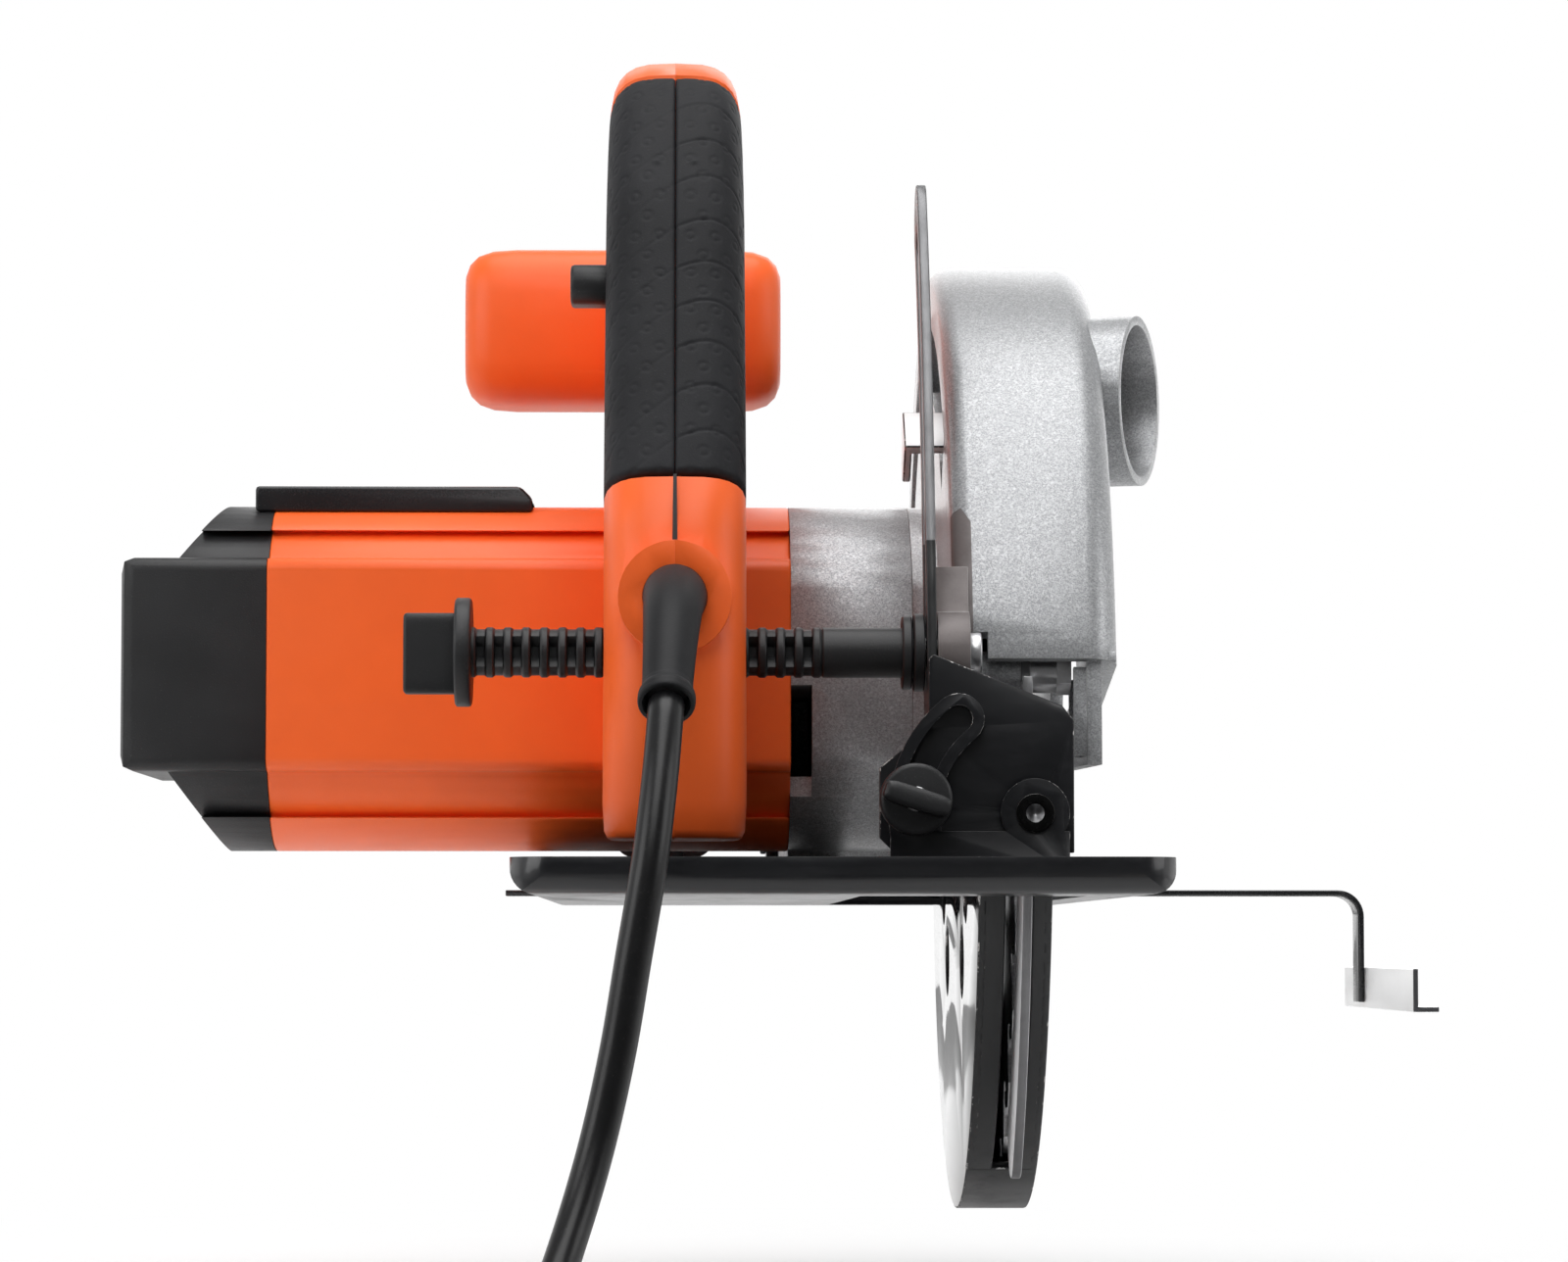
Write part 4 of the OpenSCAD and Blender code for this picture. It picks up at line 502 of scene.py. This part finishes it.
# ---- pieces taken from the solids, with their edges eased ----
# how wide each piece's eased edges are, and the finish of edges that are worn
easing = {
    "base_plate": (0.5, wornPaint), "rear_bevel_bracket": (0.3, wornPaint),
    "front_bevel_bracket": (0.3, wornPaint), "bracket_rivets": (0.2, None),
    "bevel_pivots": (0.25, None), "fence_clip": (0.4, wornPaint),
    "fence_bar": (0.25, None), "fence_guide": (0.2, None), "fence_screw": (0.4, None),
    "rear_tilt_plate": (0.35, wornPaint), "front_tilt_plate": (0.35, wornPaint),
    "depth_quadrant": (0.25, None), "depth_pivot_pin": (0.4, None), "bevel_bolts": (0.3, None),
    "motor_housing": (1.2, None), "end_cap": (0.9, None), "top_cover": (0.8, None),
    "gear_housing": (0.8, None), "upper_guard": (0.5, wornSilver), "hub_ring": (0.2, None),
    "riving_knife": (0.3, None), "knife_bolts": (0.3, None), "depth_bolt": (0.3, None),
    "handle_left": (0.35, None), "handle_right": (0.35, None), "handle_screws": (0.2, None),
    "front_handle": (0.4, None), "switch_body": (0.3, None),
    "arbor_shaft": (0.2, None), "inner_flange": (0.3, None), "saw_blade": (0.1, None),
    "outer_flange": (0.3, None), "blade_bolt": (0.4, None), "lower_guard": (0.35, wornPaint),
    "trigger": (0.8, None), "lock_off_button": (0.8, None), "spindle_lock": (0.6, None),
}
# the end cap's row of air slots, cut apart so that its pierced end stays true
capSlots = {"eachSide": 3, "pitch": 7.5, "half": 1.6, "bottom": -15, "top": 17}
slotRow = range(-capSlots["eachSide"], capSlots["eachSide"] + 1)
slotMiddles = [motor["y"] + capSlots["pitch"] * i for i in slotRow]
slotCuts = [(1, middle + side * capSlots["half"]) for middle in slotMiddles for side in (-1, 1)]
slotCuts += [(2, motor["z"] + capSlots[end]) for end in ("bottom", "top")]
cutsOf = {"end_cap": slotCuts}
easedPieces = {node: eased(node, width, worn=worn, cuts=cutsOf.get(node, ()))
               for node, (width, worn) in easing.items()}
print("solids eased:", len(easedPieces))


def repaint(node, material, where, cutHeight=None):
    # another finish on the faces whose centre (mm) and normal are picked by where, cut first at a height
    mesh = easedPieces[node].data
    if cutHeight is not None:
        work = bmesh.new()
        work.from_mesh(mesh)
        cutAt(work, 2, cutHeight)
        work.to_mesh(mesh)
        work.free()
        mesh.shade_smooth()
    count = len(mesh.polygons)
    centre, normal, index = np.empty(count * 3), np.empty(count * 3), np.empty(count, int)
    mesh.polygons.foreach_get("center", centre)
    mesh.polygons.foreach_get("normal", normal)
    mesh.polygons.foreach_get("material_index", index)
    mesh.materials.append(material)
    index[where(centre.reshape(-1, 3).T / mm, normal.reshape(-1, 3).T)] = len(mesh.materials) - 1
    mesh.polygons.foreach_set("material_index", index)


# pieces whose finish isn't their slot's
ownFinish = {
    "base_plate": plateEnamel, "rear_bevel_bracket": plateEnamel, "front_bevel_bracket": plateEnamel,
    "rear_tilt_plate": plateEnamel, "front_tilt_plate": plateEnamel, "lower_guard": guardEnamel,
    "fence_guide": brightZinc, "depth_quadrant": dullPlate, "bevel_pivots": dullRivet,
    "top_cover": glossMoulding,
}
for node, material in ownFinish.items():
    easedPieces[node].data.materials[0] = material

low, high = (np.array(corner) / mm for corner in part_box("bevel_pivots"))
# the mouth is how far from the pivot's axis the painted shade of the hole reaches
pivot = {"middle": (low + high) / 2, "ends": (low[1], high[1]), "mouth": 2.9}
# where a finish changes within a piece, or where shade is painted on one: c is a face's centre, n its
# normal
limits = {"guardLeftWall": 31, "liftTab": 29.5, "quadrantTip": 73, "ear": (28.5, -84, 80)}
repaint("lower_guard", smoothEnamel, lambda c, n: (n[0] < -0.95) & (c[0] < limits["guardLeftWall"]))
repaint("lower_guard", whiteZinc, lambda c, n: c[0] < limits["liftTab"])
# painted shade: faces within the mouth radius of the pivot's axis, the rivet's head and bore, are
# near-black to stand in for the hole's shade
repaint("bevel_pivots", paintedBoreShade,
        lambda c, n: np.hypot(c[0] - pivot["middle"][0], c[2] - pivot["middle"][2]) < pivot["mouth"])
repaint("depth_quadrant", guardEnamel, lambda c, n: c[2] < limits["quadrantTip"], limits["quadrantTip"])
repaint("fence_guide", cutEdge, lambda c, n: n[1] < -0.8)
repaint("riving_knife", dullPlate, lambda c, n: (abs(n[0]) < 0.6) & (n[1] < 0))
# painted shade: the upper guard's ear, where the casting lies in shade, is painted darker; the real casting
# has one finish
earX, earY, earZ = limits["ear"]
repaint("upper_guard", paintedShadeCasting, lambda c, n: (c[0] < earX) & (c[1] < earY) & (c[2] < earZ))

# lower guard: the turned-in edges of its open rear, either side of the blade
lipPlan = {"from": -171.5, "to": -116.5, "inside": 0.02, "thick": 1.3, "soft": 0.3, "steps": 90,
           "left": (30.1, 35.7), "right": (41.5, 45.5)}


def turnedEdge(x0, x1, outer):
    # a bar of rounded section swept about the arbor: y + r cos a, z + r sin a
    p = lipPlan
    a = np.radians(np.linspace(p["from"], p["to"], p["steps"]))[:, None]
    inner, soft = outer - p["thick"], p["soft"]
    r = np.array([inner, inner, inner + soft, outer - soft, outer, outer, outer - soft, inner + soft])
    x = np.array([x0 + soft, x1 - soft, x1, x1, x1 - soft, x0 + soft, x0, x0])
    x = np.broadcast_to(x, (p["steps"], len(x)))
    return np.stack([x, arbor["y"] + r * np.cos(a), arbor["z"] + r * np.sin(a)], -1)


low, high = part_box("lower_guard")
guardRadius = (arbor["z"] - low[2] / mm) - lipPlan["inside"]
for name in ("left", "right"):
    lip = closedSkin("guardLip" + name.capitalize(), turnedEdge(*lipPlan[name], guardRadius))
    dress(lip, "black_paint", "lower_guard").data.materials[0] = guardEnamel

# ---- depth lever: ribbed shank with cored pockets, flange, finger tab and washers ----
# pitch is from rib to rib; pocket and tall are a pocket's half length in pitches and half height as a sine
lever = {"y": -97.0, "z": 50.0, "knob": -75.0, "hub": -3.2, "end": 17.8, "pitch": 3.72, "radius": 4.75,
         "rib": 0.42, "core": 1.6, "pocket": 0.27, "tall": 0.62, "flange": 11.2, "tab": 14.0, "sides": 96}


def leverShank(p):
    # radius over length and turn: full between ribs, swelling at each rib, sunk where a pocket faces
    # ahead or back
    x = np.arange(p["knob"] - 0.5, p["hub"] + 1, p["pitch"] / 14)
    turn = fullTurn(p["sides"])
    phase = (x - p["knob"]) / p["pitch"]
    across = np.abs(phase - np.round(phase))
    rib = p["rib"] * np.clip((0.26 - across) / 0.08, 0, 1)
    sunk = np.clip((across - 0.5 + p["pocket"]) / 0.05, 0, 1) * ((x > p["knob"] + 1) & (x < p["hub"] - 1))
    facing = np.clip((p["tall"] - np.abs(np.sin(turn))) / 0.06, 0, 1)
    full = p["radius"] + rib[:, None] + 0 * turn
    flat = np.minimum(full, p["core"] / np.maximum(np.abs(np.cos(turn)), 0.2))
    r = full + (flat - full) * sunk[:, None] * facing
    x = np.repeat(x[:, None], p["sides"], 1)
    return np.stack([x, p["y"] + r * np.cos(turn), p["z"] + r * np.sin(turn)], -1)


def roundedBar(x0, x1, low, high, r, power=8, sides=48):
    # superellipse sections along X between two corners in Y and Z, drawn in by r at both ends
    turn = fullTurn(sides)
    step = np.linspace(np.pi / 2, 0, 6)
    x = np.concatenate([x0 + r * (1 - np.sin(step)), (x1 - r * (1 - np.sin(step)))[::-1]])
    inset = np.concatenate([r * (1 - np.cos(step)), (r * (1 - np.cos(step)))[::-1]])[:, None]
    low, high = np.array(low, float), np.array(high, float)
    half, centre = (high - low) / 2, (high + low) / 2
    around = [np.sign(v) * np.abs(v) ** (2 / power) for v in (np.cos(turn), np.sin(turn))]
    return np.stack([np.repeat(x[:, None], sides, 1), centre[0] + around[0] * (half[0] - inset),
                     centre[1] + around[1] * (half[1] - inset)], -1)


def turnedLever(p):
    # the lever's pieces, from the ribbed shank to the finger tab; x and radius along each turned one
    at, knob, hub, end, flange = (p["y"], p["z"]), p["knob"], p["hub"], p["end"], p["flange"]
    tabCorners = (p["y"] - 3, p["z"] - 8.6), (p["y"] + 3, p["z"] + 8.0)
    return [
        closedSkin("leverShank", leverShank(p), sharp=30),
        lathe("leverFlange", [(knob - 3.4, 9.5), (knob - 3.4, flange - 0.5), (knob - 3.1, flange - 0.1),
                              (knob - 2.8, flange), (knob - 0.6, flange), (knob - 0.2, flange - 0.2),
                              (knob, flange - 0.6), (knob, 5)], *at),
        lathe("leverHub", [(hub, 4.6), (hub, 4.9), (hub + 0.3, 5.15), (end - 4.8, 5.15),
                           (end - 4.8, 3.2)], *at),
        lathe("leverWasher", [(end - 4.6, 5), (end - 4.6, 7.3), (end - 4.3, 7.6), (end - 2.9, 7.6),
                              (end - 2.6, 7.3), (end - 2.6, 5)], *at),
        lathe("leverHead", [(end - 2.3, 5), (end - 2.3, 7.6), (end - 2, 8), (end - 0.3, 8), (end, 7.7),
                            (end, 3.1)], *at),
        lathe("leverNeck", [(end - 5, 5.1), (end, 5.1)], *at),
        closedSkin("leverTab", roundedBar(knob - p["tab"], knob - 3, *tabCorners, 0.8)),
    ]


for piece in turnedLever(lever):
    dress(piece, "black_plastic", "depth_lever", ["depth_lever"] if piece.name == "leverShank" else ())
print("depth lever built")

# ---- rubber on the handle, with finger grooves, dimples and two small studs ----
gripPlan = {
    # y, height over the motor axis, half depth and share of the half width, along the handle
    "path": [(-97, -37.9, 18, 0.9), (-97, -33.5, 20, 1), (-97, -5.5, 20.5, 1), (-95.5, 18.5, 19.5, 1),
             (-87, 43.5, 17.5, 1), (-74, 69.5, 16.5, 1), (-60, 93.9, 16.5, 1), (-41, 113.2, 16.3, 0.98),
             (-15, 119.8, 15.8, 0.95), (13, 113, 15.2, 0.9)],
    "halfWidth": 14.7, "halfDepth": 17, "power": 3.4, "start": 3.48, "end": 7.07, "thick": 2.15,
    "rows": 350, "columns": 96,
    # grooves bow as they go round: on the right (1) a hump of a width and height and then a slant,
    # on the left (-1) a slant only
    "groove": {"step": 10.2, "half": 0.33, "first": 3.0, "depth": {1: 0.24, -1: 0.12},
               "hump": (15, 2.2), "slant": {1: -0.55, -1: -0.75}},
    # dimples stand in staggered rows: step round the grip, step along it, ring radius and half width,
    # depth, and the reach they cover
    "dimple": {"step": 5.4, "rowStep": 4.7, "shift": 3.2, "ring": 1.0, "half": 0.33, "depth": 0.15,
               "from": 2, "to": 21},
    # a stud beside the seam: its place along the path and round the grip, its size and height
    "stud": {"along": 6.1, "round": 3.8, "half": 0.7, "high": 0.45},
    # how far the skin turns in at its edges, and over what width
    "edge": {"ends": (1.1, 1.3), "far": (1.0, 1.3), "seam": (0.55, 0.6)},
}


def handleCurve(u):
    # the curve through the path's rows; u counts the rows
    p = np.array(gripPlan["path"], float)
    i = np.clip(u.astype(int), 1, len(p) - 3)
    return throughPoints(p, i, u - i)


def alongHandle(u):
    # the curve at u, and its heading in Y and Z
    return handleCurve(u), unit((handleCurve(u + 0.02) - handleCurve(u - 0.02))[:, :2])


def grip(side):
    # superellipse sections along the handle, pressed in by grooves and dimples, and closed by an inner skin
    g = gripPlan
    u = np.linspace(g["start"], g["end"], g["rows"])
    at, heading = alongHandle(u)
    run = np.concatenate([[0], np.cumsum(np.linalg.norm(np.diff(at[:, :2], axis=0), axis=1))])
    fine = np.radians(np.linspace(-90, 29.5, 1500))
    wide = np.cos(fine) ** (2 / g["power"])
    deep = np.sign(np.sin(fine)) * np.abs(np.sin(fine)) ** (2 / g["power"])
    travelled = np.cumsum(np.hypot(np.diff(wide * g["halfWidth"]), np.diff(deep * g["halfDepth"])))
    length = np.concatenate([[0], travelled])
    reach = np.linspace(0, length[-1], g["columns"])
    wide, deep = np.interp(reach, length, wide), np.interp(reach, length, deep)
    s, v = run[:, None], reach[None, :]

    groove, dimple, stud = g["groove"], g["dimple"], g["stud"]
    hump, high = groove["hump"]
    slant = groove["slant"][side]
    bow = np.where(v < hump, high * np.sin(np.pi * v / hump), slant * (v - hump)) if side > 0 else slant * v
    phase = (s - bow + groove["first"]) / groove["step"]
    away = (phase - np.round(phase)) * groove["step"]
    press = groove["depth"][side] * np.exp(-(away / groove["half"]) ** 2)
    row = np.round(s / dimple["rowStep"])
    place = (v - dimple["shift"] + (row % 2) * dimple["step"] / 2) / dimple["step"]
    away = np.hypot((place - np.round(place)) * dimple["step"], s - row * dimple["rowStep"])
    ring = dimple["depth"] * np.exp(-((away - dimple["ring"]) / dimple["half"]) ** 2)
    press = press + ring * ((v > dimple["from"]) & (v < dimple["to"]))
    away = np.hypot(s - np.interp(stud["along"], u, run), v - stud["round"])
    press = press - stud["high"] * np.exp(-(away / stud["half"]) ** 2)
    for edge, distance, power in (("ends", np.minimum(s, run[-1] - s), 2), ("far", reach[-1] - v, 2),
                                  ("seam", v, 1.5)):
        turnIn, width = g["edge"][edge]
        press = press + turnIn * np.clip(1 - distance / width, 0, 1) ** power
    press = np.clip(press, -0.5, g["thick"] - 0.4)

    half, depth = g["halfWidth"] * at[:, 3:4], at[:, 2:3]
    outW, outB = half * wide, depth * deep
    lean = g["power"] - 1
    slope = unit(np.stack([wide**lean / half, np.sign(deep) * np.abs(deep) ** lean / depth], -1))
    outW, outB = np.maximum(outW - press * slope[..., 0], 0.03), outB - press * slope[..., 1]
    few = np.linspace(g["columns"] - 1, 0, 14).astype(int)
    inW, inB = np.maximum((half - g["thick"]) * wide[few], 0.03), (depth - g["thick"]) * deep[few]
    w, b = np.hstack([outW, inW]), np.hstack([outB, inB])
    points = np.stack([handleX + side * w, at[:, :1] + heading[:, 1:2] * b,
                       motor["z"] + at[:, 1:2] - heading[:, :1] * b], -1)
    return closedSkin("gripRight" if side > 0 else "gripLeft", points, sharp=50)


for side, node in ((-1, "grip_left"), (1, "grip_right")):
    dress(grip(side), "grip_rubber", bodyOf[node], [node])

# painted shade over the handle's joint: where the dark strip runs along the handle, its half width from end
# to end, how proud and how sunk
seam = {"from": 2.25, "to": 3.47, "rows": 60, "halfWidth": (0.75, 0.35), "proud": 0.03, "sunk": 1.0}


def seamShadeStrip(p):
    # painted shade: a dark strip just proud of the handle's back, over the joint of its halves, standing in
    # for the shade in the joint
    u = np.linspace(p["from"], p["to"], p["rows"])
    at, heading = alongHandle(u)
    half = np.linspace(*p["halfWidth"], p["rows"])[:, None]
    depth = -(at[:, 2:3] + np.array([p["proud"], p["proud"], -p["sunk"], -p["sunk"]]))
    x = handleX + half * np.array([-1, 1, 1, -1])
    return np.stack([x, at[:, :1] + heading[:, 1:2] * depth,
                     motor["z"] + at[:, 1:2] - heading[:, :1] * depth], -1)


# painted shade over the handle's joint, in the near-black carbon finish
dress(closedSkin("handleSeamShade", seamShadeStrip(seam)), "carbon", "saw")
print("grips moulded")

# bevel knobs: a turned disc with a rounded wing across its face
knobPlan = {"radius": 7.3, "collar": 5.6, "disc": 6.0, "wing": (6.85, 2.2), "top": 11.0, "round": 1.1,
            "tilt": -17.7, "rows": 14, "sides": 64}


def turnedAboutY(heights, radii, middle, foot, outward, sides):
    # rings of the given radii about a line along Y, at heights measured outward from the foot
    turn = fullTurn(sides)
    radii, heights = radii[:, None], np.repeat(foot + outward * heights[:, None], sides, 1)
    return np.stack([middle[0] + radii * np.cos(turn), heights, middle[2] + radii * np.sin(turn)], -1)


def bevelKnob(node, outward):
    # disc: radius over height, turned about Y; wing: superellipses of power 5 across the tilt,
    # drawn in near the top by a quarter round
    k = knobPlan
    full = k["radius"]
    low, high = (np.array(corner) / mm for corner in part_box(node))
    middle = (low + high) / 2
    foot = (high[1] if outward < 0 else low[1]) + outward
    heights, radii = np.array([(-1, k["collar"]), (0, k["collar"]), (0, full - 0.5), (0.2, full - 0.15),
                               (0.5, full), (k["disc"] - 0.9, full), (k["disc"] - 0.4, full - 0.15),
                               (k["disc"] - 0.1, full - 0.5), (k["disc"], full - 1), (k["disc"], 0.4)]).T
    disc = turnedAboutY(heights, radii, middle, foot, outward, k["sides"])
    turn = fullTurn(k["sides"])
    rise = np.linspace(k["disc"] - 0.4, k["top"], k["rows"])
    inset = k["round"] * (1 - np.sqrt(1 - np.clip(1 - (k["top"] - rise) / k["round"], 0, 1) ** 2))
    around = [np.sign(v) * np.abs(v) ** 0.4 for v in (np.cos(turn), np.sin(turn))]
    u, v = (a[None, :] * (half - inset[:, None]) for a, half in zip(around, k["wing"]))
    tilt = math.radians(k["tilt"])
    wing = np.stack([middle[0] + math.cos(tilt) * u - math.sin(tilt) * v,
                     np.repeat(foot + outward * rise[:, None], k["sides"], 1),
                     middle[2] + math.sin(tilt) * u + math.cos(tilt) * v], -1)
    return disc, wing


for node, outward in (("rear_bevel_knob", -1), ("front_bevel_knob", 1)):
    for label, points in zip(("Disc", "Wing"), bevelKnob(node, outward)):
        piece = closedSkin(node.split("_")[0] + "Knob" + label, points, sharp=50)
        dress(piece, slotOf[node], bodyOf[node], [node] if label == "Disc" else ())
print("knobs turned")

# pivot rivets: the drilled floor of each mouth, a shallow cone; depths and radii
rivetFloor = [(2.6, 0.05), (2.1, 1.0), (1.4, 1.93), (3.4, 1.93), (3.4, 0.05)]
depths, radii = np.array(rivetFloor).T
for label, mouth, inward in zip(("rear", "front"), pivot["ends"], (1, -1)):
    points = turnedAboutY(depths, radii, pivot["middle"], mouth, inward, 40)
    dress(closedSkin(label + "RivetFloor", points, sharp=50), "core_steel", bodyOf["bevel_pivots"])

# inner pieces and small ones keep their solids and only take a finish
for node, solid in frame["nodes"].items():
    if not solid.hide_render:
        solid.data.materials.clear()
        solid.data.materials.append(paints[slotOf[node]])

# ---- floor, world and lamps, in metres ----
stageFloor = {"height": -0.0921, "half": 6.0}
floorMesh = bpy.data.meshes.new("floor")
half, height = stageFloor["half"], stageFloor["height"]
corners = [(x * half, y * half, height) for x, y in ((-1, -1), (1, -1), (1, 1), (-1, 1))]
floorMesh.from_pydata(corners, [], [(0, 1, 2, 3)])
floor = placed("floor", floorMesh)
floorPaint = Paint("paleFloor")
# near the saw the floor takes its shadow; further out it is as white as the backdrop, and what the saw
# mirrors of the floor on the camera's side is dim
across, along, _ = floorPaint.axes()
away = (across * across + along * along) ** 0.5
looking = floorPaint.node("ShaderNodeLightPath")[0]
tone = floorPaint.mixed(along.between(-0.42, -0.12).top(looking), grey(0.14), grey(0.86))
plain = floorPaint.node("ShaderNodeBsdfDiffuse", {}, {0: tone})[0]
bright = floorPaint.node("ShaderNodeEmission", {}, {0: grey(1.0), 1: 1.0})[0]
joined = floorPaint.blend(away.between(0.16, 0.45) * looking, plain, bright)
floorMesh.materials.append(floorPaint.end(joined))

# white backdrop ahead and above, a dimmer room behind the camera
room = {"ahead": 1.0, "behind": 0.12, "low": 1.0, "above": 0.4}
studio = Paint("studio", world=True)
bpy.context.scene.world = studio.made
rays = studio.node("ShaderNodeLightPath")
seen = rays[0].top(rays[6])  # camera and transmission rays
_, forward, upward = studio.axes(studio.coordinates[0])
level = forward.between(-0.5, 0.35, room["behind"], room["ahead"])
# the room is brightest up to a little above the horizon
level = level * upward.between(0.3, 0.6, room["low"], room["above"])
ambient = studio.node("ShaderNodeBackground", {}, {0: grey(1.0), 1: level})[0]
backdrop = studio.node("ShaderNodeBackground", {}, {0: grey(1.0), 1: 1.0})[0]
studio.end(studio.blend(seen, ambient, backdrop), "ShaderNodeOutputWorld")

# place, what it faces, size and power
lamps = {
    "overhead": ((0.0, -0.1, 1.5), (0, 0, 0), 1.2, 15.0),
    "highFront": ((-0.1, -1.1, 1.2), (0, 0, 0.05), 0.9, 9.3),
    "leftSoft": ((-1.3, -0.8, 0.6), (0, 0, 0.05), 0.9, 8.0),
    "rightSoft": ((1.4, -0.6, 0.6), (0, 0, 0.05), 0.8, 5.0),
    "ahead": ((0.2, 1.4, 0.6), (0, 0, 0.08), 1.0, 5.0),
}
for name, (place, target, size, power) in lamps.items():
    light = bpy.data.lights.new(name, "AREA")
    light.shape = "SQUARE"
    light.size = size
    light.energy = power
    lamp = placed(name, light)
    lamp.location = place
    toward = np.array(target) - np.array(place)
    yaw = math.atan2(toward[1], toward[0]) - math.pi / 2
    lamp.rotation_euler = (math.pi / 2 + math.asin(toward[2] / np.linalg.norm(toward)), 0, yaw)

bpy.context.scene.view_settings.view_transform = "Standard"
print("studio set")
